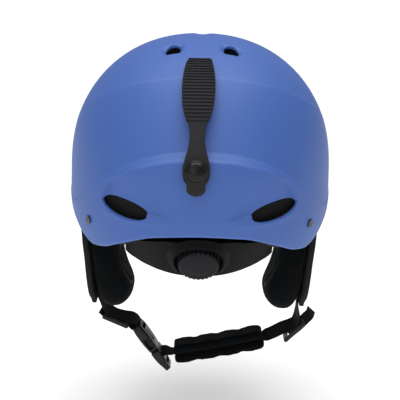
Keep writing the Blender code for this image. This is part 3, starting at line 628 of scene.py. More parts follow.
def turned(name, profile, centre, axis, paint, sides=64, angle=40.0):
    """Solid turned from (radius, along) pairs about an axis; a radius of 0 is a point."""
    axis = Vector(axis).normalized()
    first = axis.orthogonal().normalized()
    second = axis.cross(first)
    verts, rows = [], []
    for radius, along in profile:
        start = len(verts)
        if radius == 0:
            verts.append(Vector(centre) + axis * along)
            rows.append([start] * sides)
            continue
        for k in range(sides):
            turn = 2 * math.pi * k / sides
            ray = first * math.cos(turn) + second * math.sin(turn)
            verts.append(Vector(centre) + axis * along + ray * radius)
        rows.append(list(range(start, start + sides)))
    faces = []
    for a, b in zip(rows, rows[1:]):
        for k in range(sides):
            j = (k + 1) % sides
            quad = list(dict.fromkeys([a[k], a[j], b[j], b[k]]))
            if len(quad) > 2:
                faces.append(quad)
    for row in (rows[0], rows[-1]):
        if row[0] != row[1]:
            faces.append(row)
    return add_piece(name, verts, faces, paint, angle)


def settle(obj):
    """Turn an object's modifiers into its mesh."""
    bpy.context.view_layer.update()
    graph = bpy.context.evaluated_depsgraph_get()
    mesh = bpy.data.meshes.new_from_object(obj.evaluated_get(graph))
    obj.modifiers.clear()
    obj.data = mesh
    return obj


def carve(obj, cutters, operation="DIFFERENCE"):
    for cutter in cutters:
        mod = obj.modifiers.new(cutter.name, "BOOLEAN")
        mod.operation = operation
        mod.solver = "EXACT"
        mod.object = cutter
    settle(obj)
    for cutter in cutters:
        bpy.data.objects.remove(cutter)
    return obj


def soften(obj, width, segments=3, angle=32.0):
    """Rounded edges of the given width."""
    mod = obj.modifiers.new("edges", "BEVEL")
    mod.width = width * MM
    mod.segments = segments
    mod.limit_method = "ANGLE"
    mod.angle_limit = math.radians(angle)
    settle(obj)
    obj.data.shade_smooth()
    obj.data.set_sharp_from_angle(angle=math.radians(50))
    return obj


def join(name, objs):
    """One object from several, keeping each one's materials."""
    target = objs[0]
    with bpy.context.temp_override(active_object=target, selected_editable_objects=objs,
                                   object=target, selected_objects=objs):
        bpy.ops.object.join()
    target.name = name
    return target


def publish(obj, *nodes, slot, body="root", fill=None):
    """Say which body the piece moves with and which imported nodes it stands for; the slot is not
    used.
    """
    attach(obj, body)
    if nodes:
        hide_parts(*nodes)
    return obj


# %% Copies


def copies_tree():
    """Geometry Nodes: one template on every point, turned by the point's own directions."""
    tree = bpy.data.node_groups.new("copies", "GeometryNodeTree")
    sockets = (("Places", "Geometry"), ("Template", "Object"), ("Uneven", "Float"),
               ("Seed", "Int"), ("Finish", "Material"))
    for name, kind in sockets:
        tree.interface.new_socket(name, in_out="INPUT", socket_type=f"NodeSocket{kind}")
    tree.interface.new_socket("Copies", in_out="OUTPUT", socket_type="NodeSocketGeometry")
    new, link = tree.nodes.new, tree.links.new
    entry = new("NodeGroupInput")
    template = new("GeometryNodeObjectInfo")
    link(entry.outputs["Template"], template.inputs["Object"])
    axes = new("FunctionNodeAxesToRotation")
    axes.primary_axis = "X"
    axes.secondary_axis = "Z"
    fields = {}
    for name in ("along", "out", "size"):
        fields[name] = new("GeometryNodeInputNamedAttribute")
        fields[name].data_type = "FLOAT_VECTOR"
        fields[name].inputs["Name"].default_value = name
    link(fields["along"].outputs[0], axes.inputs[0])
    link(fields["out"].outputs[0], axes.inputs[1])
    chance = new("FunctionNodeRandomValue")
    link(entry.outputs["Seed"], chance.inputs["Seed"])
    chance.inputs[2].default_value = -1.0
    chance.inputs[3].default_value = 1.0
    amount = new("ShaderNodeMath")
    amount.operation = "MULTIPLY_ADD"
    link(chance.outputs[1], amount.inputs[0])
    link(entry.outputs["Uneven"], amount.inputs[1])
    amount.inputs[2].default_value = 1.0
    grown = new("ShaderNodeVectorMath")
    grown.operation = "SCALE"
    link(fields["size"].outputs[0], grown.inputs[0])
    link(amount.outputs[0], grown.inputs["Scale"])
    place = new("GeometryNodeInstanceOnPoints")
    link(entry.outputs["Places"], place.inputs["Points"])
    link(template.outputs["Geometry"], place.inputs["Instance"])
    link(axes.outputs[0], place.inputs["Rotation"])
    link(grown.outputs[0], place.inputs["Scale"])
    real = new("GeometryNodeRealizeInstances")
    link(place.outputs[0], real.inputs[0])
    paint = new("GeometryNodeSetMaterial")
    link(real.outputs[0], paint.inputs["Geometry"])
    link(entry.outputs["Finish"], paint.inputs["Material"])
    link(paint.outputs[0], new("NodeGroupOutput").inputs[0])
    return tree


COPIES = copies_tree()


def copies(name, template, frames, paint, uneven=0.0, seed=7):
    """Copies of a template at (place, along, out, size) frames; the template goes."""
    mesh = bpy.data.meshes.new(name)
    mesh.from_pydata([tuple(Vector(f[0]) * MM) for f in frames], [], [])
    for k, field in enumerate(("along", "out", "size"), start=1):
        data = mesh.attributes.new(field, "FLOAT_VECTOR", "POINT")
        data.data.foreach_set("vector", np.array([tuple(f[k]) for f in frames], float).ravel())
    obj = bpy.data.objects.new(name, mesh)
    bpy.context.scene.collection.objects.link(obj)
    mod = obj.modifiers.new("copies", "NODES")
    mod.node_group = COPIES
    values = {"Template": template, "Uneven": float(uneven), "Seed": seed, "Finish": paint}
    for item in COPIES.interface.items_tree:
        if item.in_out == "INPUT" and item.name in values:
            mod[item.identifier] = values[item.name]
    settle(obj)
    bpy.data.objects.remove(template)
    obj.data.shade_smooth()
    obj.data.set_sharp_from_angle(angle=math.radians(45))
    return obj


def bar(radius=1.0, sides=10):
    """Template: a round bar one millimetre long, lying along X."""
    return turned("bar_template", [(radius * 0.6, -0.5), (radius, -0.47), (radius, 0.47),
                                   (radius * 0.6, 0.5)], (0, 0, 0), (1, 0, 0), PAINT["thread"],
                  sides)


def stitches(name, points, outs, paint, long=2.6, gap=1.3, thick=0.3):
    """A row of stitches along a path of 3-D points with outward directions."""
    points = np.array(points, float)
    outs = np.array(outs, float)
    along = np.concatenate([[0], np.cumsum(np.linalg.norm(np.diff(points, axis=0), axis=1))])
    count = max(2, int(along[-1] / (long + gap)))
    frames = []
    for s in (np.arange(count) + 0.5) * along[-1] / count:
        here = [np.interp(s, along, points[:, k]) for k in range(3)]
        ahead = [np.interp(min(s + 0.5, along[-1]), along, points[:, k]) for k in range(3)]
        behind = [np.interp(max(s - 0.5, 0), along, points[:, k]) for k in range(3)]
        out = Vector([np.interp(s, along, outs[:, k]) for k in range(3)])
        frames.append((Vector(here) + out * thick * 0.3, Vector(ahead) - Vector(behind), out,
                       (long, thick, thick)))
    return copies(name, bar(), frames, paint, uneven=0.08)


print("mesh words ready")

# %% [markdown]
# ## The hard shell
#
# The real shell is one injection moulding: a matte dome, a band sunk under a crease for the
# goggle strap, and a ledge below the band with a bright chamfer.  It could be modelled by
# subdividing a few patches, but the crease and the ledge run at changing heights, so a profile
# worked out at every azimuth keeps them crisp.  Rows crowd near the crease and the ledge, and a
# light smoothing up the profile gives every edge its moulded radius.

# %% Shell profile


def outline_radius(azimuth, half_width=HALF_WIDTH, half_length=HALF_LENGTH):
    """Distance from the middle to the outline at an azimuth (degrees) from the back."""
    a = math.radians(azimuth)
    wide = (abs(math.sin(a)) / half_width) ** OUTLINE_POWER
    long = (abs(math.cos(a)) / half_length) ** OUTLINE_POWER
    return (wide + long) ** (-1 / OUTLINE_POWER)


def dome_scale(height):
    """Share of the outline left at each height over the widest plane."""
    height = np.asarray(height, float)
    up = np.clip(1 - (np.clip(height, 0, None) / DOME_HEIGHT) ** DOME_POWER, 0, 1)
    drop = np.clip(-height - 15, 0, None)
    return np.where(height >= 0, up ** (1 / DOME_POWER), 1 - 0.000033 * drop * drop)


def height_of_scale(scale):
    return DOME_HEIGHT * (1 - scale ** DOME_POWER) ** (1 / DOME_POWER)


def crease_height(azimuth):
    return 82.5 - 48 * (1 - math.cos(math.radians(min(azimuth, 90)))) - 0.12 * max(0, azimuth - 90)


def ledge_height(azimuth):
    return 31 - 54 * math.sin(math.radians(min(1.31 * azimuth, 90))) ** 2.4


def back_fade(azimuth, full, gone):
    t = min(max((azimuth - full) / (gone - full), 0), 1)
    return 1 - t * t * (3 - 2 * t)


PANEL_ROWS, CHAMFER_ROWS, BAND_ROWS, CROWN_ROWS = 54, 9, 26, 40


def shell_profile(azimuth):
    """(radii, heights) up the outside of the shell at one azimuth, rim to crown."""
    azimuth = abs((azimuth + 180) % 360 - 180)
    radius = outline_radius(azimuth)
    rim = smooth_value(RIM, azimuth)
    top = max(ledge_height(azimuth), rim + 9)
    low = top - 4.8 * back_fade(azimuth, 20, 85) - 1.2
    crease = crease_height(azimuth)
    out = LEDGE_OUT * back_fade(azimuth, 10, 58)
    inset = BAND_IN * back_fade(azimuth, 20, 96)
    t = np.linspace(0, 1, PANEL_ROWS)
    panel = rim + (low - rim) * t
    panel_r = radius * dome_scale(panel) + out * t
    t = 0.5 - 0.5 * np.cos(np.pi * np.linspace(0, 1, BAND_ROWS))
    band = top + (crease - top) * t
    band_r = radius * dome_scale(band) - inset * (1 - t) * (3.2 * t + 0.55)
    t = np.linspace(0, 1, CHAMFER_ROWS + 2)[1:-1]
    chamfer = low + (top - low) * t
    chamfer_r = panel_r[-1] + (band_r[0] - panel_r[-1]) * t
    scale = dome_scale(crease)
    s = np.arange(1, CROWN_ROWS + 1) / (CROWN_ROWS + 1)
    share = 1 - 0.35 * s - 0.65 * s * s
    radii = np.concatenate([panel_r, chamfer_r, band_r, radius * scale * share])
    heights = np.concatenate([panel, chamfer, band, height_of_scale(scale * share)])
    for _ in range(2):
        radii[1:-1] = 0.25 * radii[:-2] + 0.5 * radii[1:-1] + 0.25 * radii[2:]
        heights[1:-1] = 0.25 * heights[:-2] + 0.5 * heights[1:-1] + 0.25 * heights[2:]
    radii[0] -= 0.7
    return radii, heights


def surface_point(azimuth, height):
    """Point and outward normal on the shell's outside."""
    def point(az, h):
        radii, heights = shell_profile(az)
        r = float(np.interp(h, np.append(heights, DOME_HEIGHT), np.append(radii, 0)))
        a = math.radians(az)
        return Vector((r * math.sin(a), -r * math.cos(a), WIDEST_Z + h))
    here = point(azimuth, height)
    along = point(azimuth + 2, height) - point(azimuth - 2, height)
    up = point(azimuth, height + 1.5) - point(azimuth, height - 1.5)
    return here, along.cross(up).normalized()


def vent_frame(spec, side):
    """Centre, long direction, short direction and outward normal of one vent."""
    centre, normal = surface_point(spec["azimuth"] * side, spec["height"])
    level = Vector((0, 0, 1)).cross(normal).normalized()
    rise = normal.cross(level)
    slant = math.radians(spec["slant"] * -side)
    long = level * math.cos(slant) + rise * math.sin(slant)
    return centre, long, normal.cross(long), normal


FRAMES = {(name, hand): vent_frame(spec, side) for name, spec in VENTS for side, hand in SIDES}
for key, (centre, long, short, normal) in FRAMES.items():
    print(key, [round(v) for v in centre], "long", [round(v, 2) for v in long])

# %% [markdown]
# The rear vents are gills: an eyebrow crease starts at the outer end of the opening and sweeps
# up, and inside it the panel sinks towards the opening's upper edge, so air is caught and led
# in.  A lip stands proud under the opening.  The top vents open in the front wall of small
# scoops, so they face back, and a shallow channel runs over the crown between them.  These are
# offsets of the skin, in each vent's own plane.

# %% Offsets of the skin


def vent_plane(points, key):
    """Each point's place along and across a vent, with along running inwards."""
    centre, long, short, normal = (np.array(v) for v in FRAMES[key])
    inward = 1 if key[1] == "left" else -1
    away = points - centre
    return away @ long * inward, away @ short, np.abs(away @ normal)


def scoop_plane(points, key):
    """Each point's place behind a top vent and across it."""
    centre, _, _, normal = (np.array(v) for v in FRAMES[key])
    back = np.array([0.0, -1.0, 0.0]) - normal * -normal[1]
    back /= np.linalg.norm(back)
    away = points - centre
    return away @ back, away @ np.cross(normal, back), np.abs(away @ normal)


def sink(points):
    """How far each point of the smooth skin moves inwards."""
    depth = np.zeros(points.shape[:-1])
    for hand in ("left", "right"):
        u, v, far = vent_plane(points, ("rear", hand))
        brow = -22.7 + 18.2 * np.clip(v / 30.7, 0, 2) ** 1.7
        inside = ramp(u - brow, -0.3, 1.6) * ramp(v - 0.03 * u, 0.3, 2.0)
        fade = (1 - ramp(v, 8, 34)) * (1 - ramp(u, 22, 44))
        lip = np.exp(-((v + 7.5 - 0.16 * np.clip(u - 6, 0, 60)) / 2.6) ** 2)
        lip = lip * ramp(u, -24, -12) * (1 - ramp(u, 24, 44))
        near = far < 25
        depth += near * (3.0 * inside * fade - 0.8 * lip)
        for name, deep in (("top", 5.0), ("front", 3.4)):
            back, across, far = scoop_plane(points, (name, hand))
            hollow = ramp(back, -6.8, 1.2) * (1 - ramp(back, 2.5, 16))
            depth += (far < 25) * deep * hollow * (1 - ramp(np.abs(across), 4.2, 10.5))
    x, y = points[..., 0], points[..., 1]
    channel = np.exp(-(x / 5.2) ** 4) * ramp(y, -52, -26) * (1 - ramp(y, 92, 112))
    return depth + 0.9 * channel * (points[..., 2] > WIDEST_Z + 30)


def turns():
    """Azimuths, close together behind where the detail is."""
    rear = np.linspace(-50, 50, 221)[:-1]
    rest = np.linspace(50, 310, 201)[:-1]
    return np.concatenate([rear, rest])


def skin_grid():
    grid = []
    for azimuth in turns():
        radii, heights = shell_profile(azimuth)
        a = math.radians(azimuth)
        grid.append(np.stack([radii * math.sin(a), -radii * math.cos(a), WIDEST_Z + heights], 1))
    return np.array(grid).transpose(1, 0, 2)


def normals_of(grid, crown):
    around = np.roll(grid, -1, axis=1) - np.roll(grid, 1, axis=1)
    above = np.concatenate([grid[1:], np.broadcast_to(crown, (1,) + grid.shape[1:])])
    below = np.concatenate([grid[:1], grid[:-1]])
    normal = np.cross(around, above - below)
    return normal / np.linalg.norm(normal, axis=2, keepdims=True)


def wall(name, outer, inner, top_out, top_in, paint):
    """Closed wall between two dome grids that share a rim."""
    rows, around = outer.shape[:2]
    inner_rows = inner.shape[0]
    verts = np.concatenate([outer.reshape(-1, 3), inner.reshape(-1, 3), [top_out, top_in]])
    base, crown = rows * around, len(verts) - 2
    faces = []
    for i in range(around):
        j = (i + 1) % around
        for r in range(rows - 1):
            faces.append([r * around + i, r * around + j, (r + 1) * around + j,
                          (r + 1) * around + i])
        faces.append([(rows - 1) * around + i, (rows - 1) * around + j, crown])
        for r in range(inner_rows - 1):
            faces.append([base + r * around + j, base + r * around + i,
                          base + (r + 1) * around + i, base + (r + 1) * around + j])
        top = base + (inner_rows - 1) * around
        faces.append([top + j, top + i, crown + 1])
        faces.append([j, i, base + i, base + j])
    return add_piece(name, verts, faces, paint, 50)


def vent_plug(frame, long, short, low, high, sides=56):
    """Cutter for a vent, a leaf shape with its fuller end outwards."""
    centre, axis_long, axis_short, normal = frame
    rings = []
    for depth, grow in ((low, 0.0), (-1.4, 0.0), (0.6, 0.7), (high, 1.0)):
        ring = []
        for k in range(sides):
            a = 2 * math.pi * k / sides
            c, s = math.cos(a), math.sin(a)
            ring.append(centre + axis_long * ((long + grow) * math.copysign(abs(c) ** 0.86, c))
                        + axis_short * ((short + grow) * math.copysign(abs(s) ** 1.12, s))
                        + normal * depth)
        rings.append(ring)
    return skin("vent_plug", rings, PAINT["shell"])


# %% Build the shell


def build_shell():
    base = skin_grid()
    crown = np.array([0, 0, SHELL_TOP])
    outward = normals_of(base, crown)
    drop = sink(base)
    outer = base - outward * drop[..., None]
    rows = [0, 1, *range(2, PANEL_ROWS + 8, 2), *range(PANEL_ROWS + 9, len(base) - 40, 4),
            *range(len(base) - 40, len(base) - 2)]
    inner = (base - outward * (SHELL_WALL + 0.85 * np.clip(drop, 0, 9))[..., None])[rows]
    inner[0, :, 2] = base[0, :, 2]
    inner[1, :, 2] = base[1, :, 2]
    inner[0] += outward[0] * 0.5
    top = crown - np.array([0, 0, 0.9])
    shell = wall("shell_blue_moulding", outer, inner, top, crown * 1.0 - [0, 0, 3.4],
                 PAINT["shell"])
    # Painted highlight: lighter bands along the ledge foot, the chamfer top, the crease and the rim,
    # kept in the edge attribute.
    edge = np.zeros(outer.shape[:2])
    fold = PANEL_ROWS + CHAMFER_ROWS
    for row, strength in ((PANEL_ROWS, 0.9), (fold, 0.7), (fold + BAND_ROWS - 1, 0.8), (0, 1)):
        edge += strength * np.exp(-((np.arange(len(outer)) - row) / 1.3) ** 2)[:, None]
    crease_highlight = np.zeros(len(shell.data.vertices))
    crease_highlight[:edge.size] = np.clip(edge, 0, 1).ravel()
    data = shell.data.attributes.new("edge", "FLOAT", "POINT")
    data.data.foreach_set("value", crease_highlight)
    cutters = [vent_plug(FRAMES[name, hand], spec["long"], spec["short"], -7.0, 8.0)
               for name, spec in VENTS for _, hand in SIDES]
    for side, _ in SIDES:
        centre, normal = surface_point(44.0 * side, -31.0)
        cutters.append(turned("rivet_hole", [(2.0, -4), (2.0, 4)], centre, normal,
                              PAINT["shell"], 20))
    carve(shell, cutters)
    shell.data.shade_smooth()
    shell.data.set_sharp_from_angle(angle=math.radians(42))
    return publish(shell, "shell_outer", slot="shell_blue")


shell = build_shell()
print("shell:", len(shell.data.vertices), "points")

# %% [markdown]
# ## Foam, vent mesh and rivets
#
# Behind the shell is a black bead-foam liner with air channels moulded into its inside.  A duct
# runs from each vent through the foam, closed by a fine nylon mesh held under the shell.  The
# mesh is two layers of crossing wires, copied as straight bars cut to the width of the opening.
# Behind the wires a solid dark disc is painted shade, standing for the dark depth of the duct.

# %% Foam liner


def build_liner():
    around = 160
    azimuths = np.arange(around) * 360 / around
    grid = []
    for azimuth in azimuths:
        radii, heights = shell_profile(azimuth)
        a = math.radians(azimuth)
        grid.append(np.stack([radii * math.sin(a), -radii * math.cos(a), WIDEST_Z + heights], 1))
    grid = np.array(grid).transpose(1, 0, 2)
    crown = np.array([0, 0, SHELL_TOP])
    depth = (SHELL_WALL + 1.5 + 0.6 * np.clip(sink(grid), 0, 9))[..., None]
    outer = (grid - normals_of(grid, crown) * depth)[[0, 6, 14, 24, 34, 44, 53, 66, 74, 82, 89,
                                                     95, 102, 110, 118, 125]]
    outer[0, :, 2] = grid[0, :, 2] + 2.5
    for k in range(1, 7):
        outer[k, :, 2] = np.maximum(outer[k, :, 2], outer[k - 1, :, 2] + 0.4)
    height = CAVITY_TOP - WIDEST_Z
    inner = []
    for t in (-1.0, -0.94, -0.6, -0.3, *np.linspace(0, 0.94, 18)):
        ring = []
        for azimuth, edge in zip(azimuths, outer[0, :, 2] - WIDEST_Z):
            low = edge - 5.8 * back_fade(abs((azimuth + 180) % 360 - 180), 32, 54)
            scale = 1.0 if t <= 0 else math.cos(t * math.pi / 2)
            h = low * -t if t <= 0 else height * (1 - scale ** DOME_POWER) ** (1 / DOME_POWER)
            r = outline_radius(azimuth, CAVITY_HALF_WIDTH, CAVITY_HALF_LENGTH) * scale
            r += 1.2 if t == -1.0 else 0.0
            a = math.radians(azimuth)
            ring.append((r * math.sin(a), -r * math.cos(a), WIDEST_Z + h))
        inner.append(ring)
    inner = np.array(inner)
    x, z = inner[..., 0], inner[..., 2]
    channel = sum(np.exp(-((np.abs(x) - middle) / 5.0) ** 4) for middle in (0.0, 33.0))
    share = ramp(z, WIDEST_Z + 8, WIDEST_Z + 32)
    away = inner - np.array([0, 0, WIDEST_Z - 20])
    away /= np.linalg.norm(away, axis=2, keepdims=True)
    inner += away * (3.2 * np.clip(channel, 0, 1) * share)[..., None]
    liner = wall("liner_bead_foam", outer, inner, (0, 0, SHELL_TOP - 4.6), (0, 0, CAVITY_TOP + 3),
                 PAINT["foam"])
    ducts = [vent_plug(FRAMES[name, hand], spec["long"] + 1.6, spec["short"] + 1.6, -60, 8, 32)
             for name, spec in VENTS for _, hand in SIDES]
    carve(liner, ducts)
    liner.data.shade_smooth()
    liner.data.set_sharp_from_angle(angle=math.radians(45))
    return publish(liner, "liner_foam", slot="foam_black")


liner = build_liner()
print("liner:", len(liner.data.vertices), "points")

# %% Vent mesh


def build_vent_mesh(key, spec):
    """Crossing wires over one opening, with a solid dark disc behind them as painted shade for the
    duct.
    """
    centre, long, short, normal = FRAMES[key]
    a, b = spec["long"] + 1.4, spec["short"] + 1.4
    frames = []
    pitch = 1.9
    # Painted shade: a solid dark disc just behind the wires hides the duct, so the opening reads
    # dark.
    gauze = skin("gauze", [[centre + long * (a * math.cos(t)) + short * (b * math.sin(t))
                            + normal * depth for t in np.arange(48) * math.pi / 24]
                           for depth in (-8.9, -8.5)], PAINT["mesh"])
    for depth, first, second, reach, width in ((-7.5, long, short, a, b),
                                               (-7.9, short, long, b, a)):
        for k in range(int(-reach / pitch), int(reach / pitch) + 1):
            half = width * math.sqrt(max(0, 1 - (k * pitch / reach) ** 2))
            if half > 1.0:
                place = centre + first * (k * pitch) + normal * depth
                frames.append((place, second, normal, (2 * half, 0.3, 0.3)))
    name = f"mesh_wires_{key[0]}_{key[1]}"
    wires = join(name, [copies(name, bar(sides=6), frames, PAINT["mesh"]), gauze])
    return publish(wires, f"vent_mesh_{key[0]}_{key[1]}", slot="vent_mesh")


for name, spec in VENTS:
    for _, hand in SIDES:
        build_vent_mesh((name, hand), spec)
print("vent meshes: 6")

# %% Rivets


def build_rivet(side, hand):
    """Flat lacquered rivet with a dished head and a turned rim."""
    centre, normal = surface_point(44.0 * side, -31.0)
    profile = [(0, -2.5), (1.6, -2.4), (1.6, 0.35), (3.1, 0.4), (3.5, 0.65), (3.5, 0.95),
               (3.2, 1.35), (2.6, 1.5), (2.0, 1.35), (1.1, 1.2), (0, 1.15)]
    rivet = turned(f"rivet_head_{hand}", profile, centre, normal, PAINT["metal"], 40, 35)
    return publish(rivet, f"shell_rivet_{hand}", slot="rivet_dark")


for side, hand in SIDES:
    build_rivet(side, hand)
print("rivets: 2")

# %% [markdown]
# ## Goggle clip
#
# A moulded rubber strap holds the goggle band against the shell.  It is anchored under its top
# end and snaps shut at the bottom, where a glossy button with a pull tab covers the stud.  Its
# upper half carries about twenty grip ribs.  The strap is one rounded section carried along the
# path, with the width drawn as listed; the ribs are copies of a round bar, each stretched to the
# width of the strap under it.

# %% Strap path
CLIP_THICK = 2.6
CLIP_STANDOFF = [(94.5, 2.3), (86, 2.4), (74, 2.8), (58, 3.2), (42, 3.8), (28, 5.0), (16, 5.9),
                 (6, 5.9), (-3, 5.4)]
CLIP_WIDTHS = [(0.055, 16.8), (0.08, 19.4), (0.12, 21.4), (0.2, 24.0), (0.31, 25.4), (0.4, 24.6),
               (0.46, 22.6), (0.504, 19.9), (0.543, 16.7), (0.553, 14.0), (0.6, 11.8),
               (0.64, 11.4), (0.71, 13.6), (0.77, 18.0), (0.827, 20.6), (0.873, 19.5),
               (0.9, 15.6), (0.915, 10.0)]
CLIP_START, TAB_END = 0.055, 0.966
SNAP_AT = 0.835


def clip_path(count):
    """Points (y, z) down the strap and its outward normals."""
    path = []
    for height, standoff in CLIP_STANDOFF:
        back = HALF_LENGTH * float(dome_scale(height))
        slope = float(dome_scale(height - 0.5) - dome_scale(height + 0.5)) * HALF_LENGTH
        size = math.hypot(1, slope)
        path.append((-back - standoff / size, WIDEST_Z + height + standoff * slope / size))
    points = curve_points(path, count)
    tangents, _ = directions(points)
    return points, tangents, np.stack([tangents[:, 1], -tangents[:, 0]], axis=1)


# %% Strap, ribs and snap


def lean(share):
    """The soft strap hangs a little to the left, more so at its free end."""
    return -1.8 - 1.3 * share


def build_clip():
    count = 321
    points, _, normals = clip_path(count)
    rings = []
    for k in range(count):
        share = k / (count - 1)
        if not CLIP_START <= share <= CLIP_WIDTHS[-1][0]:
            continue
        half = smooth_value(CLIP_WIDTHS, share) / 2
        end = min(1.0, 0.75 + (share - CLIP_START) * 40)
        ring = []
        for u, v in rounded(half, CLIP_THICK / 2 * end, 0.85 * end, 5):
            y, z = points[k] + normals[k] * (v + CLIP_THICK / 2)
            ring.append((u + lean(share), y, z))
        rings.append(ring)
    strap = skin("clip_strap_moulding", rings, PAINT["rubber"], 50)
    frames = []
    for share in np.linspace(0.066, 0.537, 21):
        k = share * (count - 1)
        at = [np.interp(k, np.arange(count), points[:, i]) for i in (0, 1)]
        out = [np.interp(k, np.arange(count), normals[:, i]) for i in (0, 1)]
        half = smooth_value(CLIP_WIDTHS, share) / 2
        place = (lean(share), at[0] + out[0] * CLIP_THICK, at[1] + out[1] * CLIP_THICK)
        frames.append((place, (1, 0, 0), (0, *out), (2 * half - 0.5, 0.8, 1.05)))
    ribs = copies("clip_ribs", bar(sides=12), frames, PAINT["rubber"])
    strap = join("clip_strap", [strap, ribs])
    return publish(strap, "goggle_clip", slot="rubber_strap", body="goggle_clip_strap")


def build_snap():
    """Domed button with a turned rim, and the pull tab that grows from under it."""
    count = 161
    points, _, normals = clip_path(count)
    k = round(SNAP_AT * (count - 1))
    axis = (0, *normals[k])
    foot = (lean(SNAP_AT), *(points[k] + normals[k] * (CLIP_THICK + 0.3)))
    profile = [(0, 0), (8.3, 0), (8.8, 0.4), (8.9, 1.1), (8.6, 1.9), (8.1, 2.3), (7.7, 2.15),
               (7.3, 2.2), (6.8, 2.75), (5.4, 3.5), (3.4, 4.05), (1.6, 4.25), (0, 4.3)]
    button = turned("snap_button", profile, foot, axis, PAINT["gloss"], 72, 35)
    rings = []
    last = round(TAB_END * (count - 1))
    for j in range(k, last + 1):
        share = (j - k) / (last - k)
        half = 7.1 * math.sqrt(max(0.02, 1 - max(0, share - 0.72) ** 2 / 0.28 ** 2))
        rise = 2.3 - 0.5 * ramp(share, 0.3, 0.7)
        foot_rise = rise + CLIP_THICK - 1.2
        rings.append([(u + lean(SNAP_AT), *(points[j] + normals[j] * (v + foot_rise)))
                      for u, v in rounded(half, 1.15, 0.7, 5)])
    tab = skin("snap_tab", rings, PAINT["gloss"], 45)
    piece = join("snap_button_and_tab", [button, tab])
    return publish(piece, "snap_cap", slot="snap_plastic", body="goggle_clip_strap")


build_clip()
build_snap()
print("goggle clip done")

# %% [markdown]
# ## Fit cradle, dial and housing
#
# Under the back of the helmet a springy plastic cradle hugs the skull.  Turning the dial moves
# two toothed belt arms in and out.  The wall is one rounded section bent round a tilted arc.  A
# low arch stands round the dial, and the dial's rim is copies of one rounded tooth.

# %% Cradle
CRADLE_TILT = math.radians(36.0)
CRADLE_CENTRE = Vector((0.0, -49.0, -93.0))
CRADLE_RADIUS = 70.0
CRADLE_WALL = 2.0
CRADLE_LOW = [(0, -20.5), (30, -22), (45, -24.5), (58, -28)]
CRADLE_HIGH = [(0, 20), (20, 17), (30, 11), (45, 1.5), (58, 0)]
CRADLE_OUT = Vector((0, -math.cos(CRADLE_TILT), -math.sin(CRADLE_TILT)))
CRADLE_UP = Vector((0, -math.sin(CRADLE_TILT), math.cos(CRADLE_TILT)))
DIAL_RADIUS = 16.4
DIAL_TEETH = 28
HOUSING_RADIUS = 21.5


def cradle_point(angle, radius, height):
    a = math.radians(angle)
    ray = CRADLE_OUT * math.cos(a) + Vector((1, 0, 0)) * math.sin(a)
    return CRADLE_CENTRE + ray * radius + CRADLE_UP * height


def build_cradle():
    rings = []
    for angle in np.linspace(-58, 58, 117):
        low = smooth_value(CRADLE_LOW, abs(angle))
        high = smooth_value(CRADLE_HIGH, abs(angle))
        trim = 1.0 if abs(angle) < 57.5 else 0.82
        ring = []
        for u, v in rounded((high - low) / 2, CRADLE_WALL / 2 * trim, 0.8 * trim, 5):
            ring.append(cradle_point(angle, CRADLE_RADIUS - CRADLE_WALL / 2 + v,
                                     (high + low) / 2 + u))
        rings.append(ring)
    wall_piece = skin("cradle_wall", rings, PAINT["cradle"], 45)
    carve(wall_piece, [turned("shaft_hole", [(3.4, 60), (3.4, 76)], CRADLE_CENTRE, CRADLE_OUT,
                              PAINT["cradle"], 32)])
    return publish(wall_piece, "cradle_shell", slot="cradle_plastic", body="cradle")


def build_housing():
    section = [(DIAL_RADIUS + 1.4, 0.4), (DIAL_RADIUS + 1.4, 3.9), (DIAL_RADIUS + 1.7, 4.5),
               (DIAL_RADIUS + 2.4, 4.7), (HOUSING_RADIUS - 2.0, 4.35), (HOUSING_RADIUS - 0.6, 3.4),
               (HOUSING_RADIUS + 1.2, 1.7), (HOUSING_RADIUS + 3.2, 0.3)]
    rings = []
    for angle in np.linspace(-38, 218, 97):
        a = math.radians(angle)
        ring = []
        for radius, rise in section:
            x, h = radius * math.cos(a), radius * math.sin(a)
            bend = math.degrees(math.asin(x / CRADLE_RADIUS))
            ring.append(cradle_point(bend, CRADLE_RADIUS + rise, h))
        rings.append(ring)
    arch = skin("dial_arch", rings, PAINT["cradle"], 45)
    return publish(arch, "dial_housing", slot="cradle_plastic", body="cradle")


def build_knob():
    """Turned body with a dished face ring, and one row of rounded teeth."""
    middle = CRADLE_CENTRE
    core = DIAL_RADIUS - 1.0
    profile = [(0, 71.0), (core - 1.0, 71.0), (core, 71.6), (core, 76.2), (core - 0.5, 76.9),
               (core - 1.4, 77.3), (12.4, 77.5), (12.0, 77.2), (11.4, 77.15), (11.0, 77.45),
               (6.0, 77.75), (0, 77.85)]
    body = turned("dial_body", profile, middle, CRADLE_OUT, PAINT["dial"], 112, 35)
    frames = []
    for k in range(DIAL_TEETH):
        a = 2 * math.pi * k / DIAL_TEETH
        ray = CRADLE_UP * math.cos(a) + Vector((1, 0, 0)) * math.sin(a)
        frames.append((middle + CRADLE_OUT * 74.0 + ray * (core - 0.15), CRADLE_OUT, ray,
                       (5.0, 1.15, 1.1)))
    teeth = copies("dial_teeth", bar(sides=12), frames, PAINT["dial"])
    knob = join("dial_knob_toothed", [body, teeth])
    return publish(knob, "dial_knob", slot="dial_plastic", body="dial")


build_cradle()
build_housing()
build_knob()
print("cradle and dial done")

# %% [markdown]
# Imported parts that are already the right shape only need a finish: the pinion, the belt arms,
# the spring leaf, the inner cover, the side belts, and the small metal and plastic fixings.

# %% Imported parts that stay
KEPT = {"cradle_cover": "cradle", "dial_pinion": "cradle", "belt_arm_left": "cradle",
        "belt_arm_right": "cradle", "side_belt_left": "cradle", "side_belt_right": "cradle",
        "dial_detent": "metal", "snap_stud": "metal", "snap_socket": "gloss",
        "clip_anchor": "gloss", "strap_hanger_left": "buckle", "strap_hanger_right": "buckle"}
for node, paint in KEPT.items():
    NODES[node].data.materials.clear()
    NODES[node].data.materials.append(PAINT[paint])
print("kept:", len(KEPT))

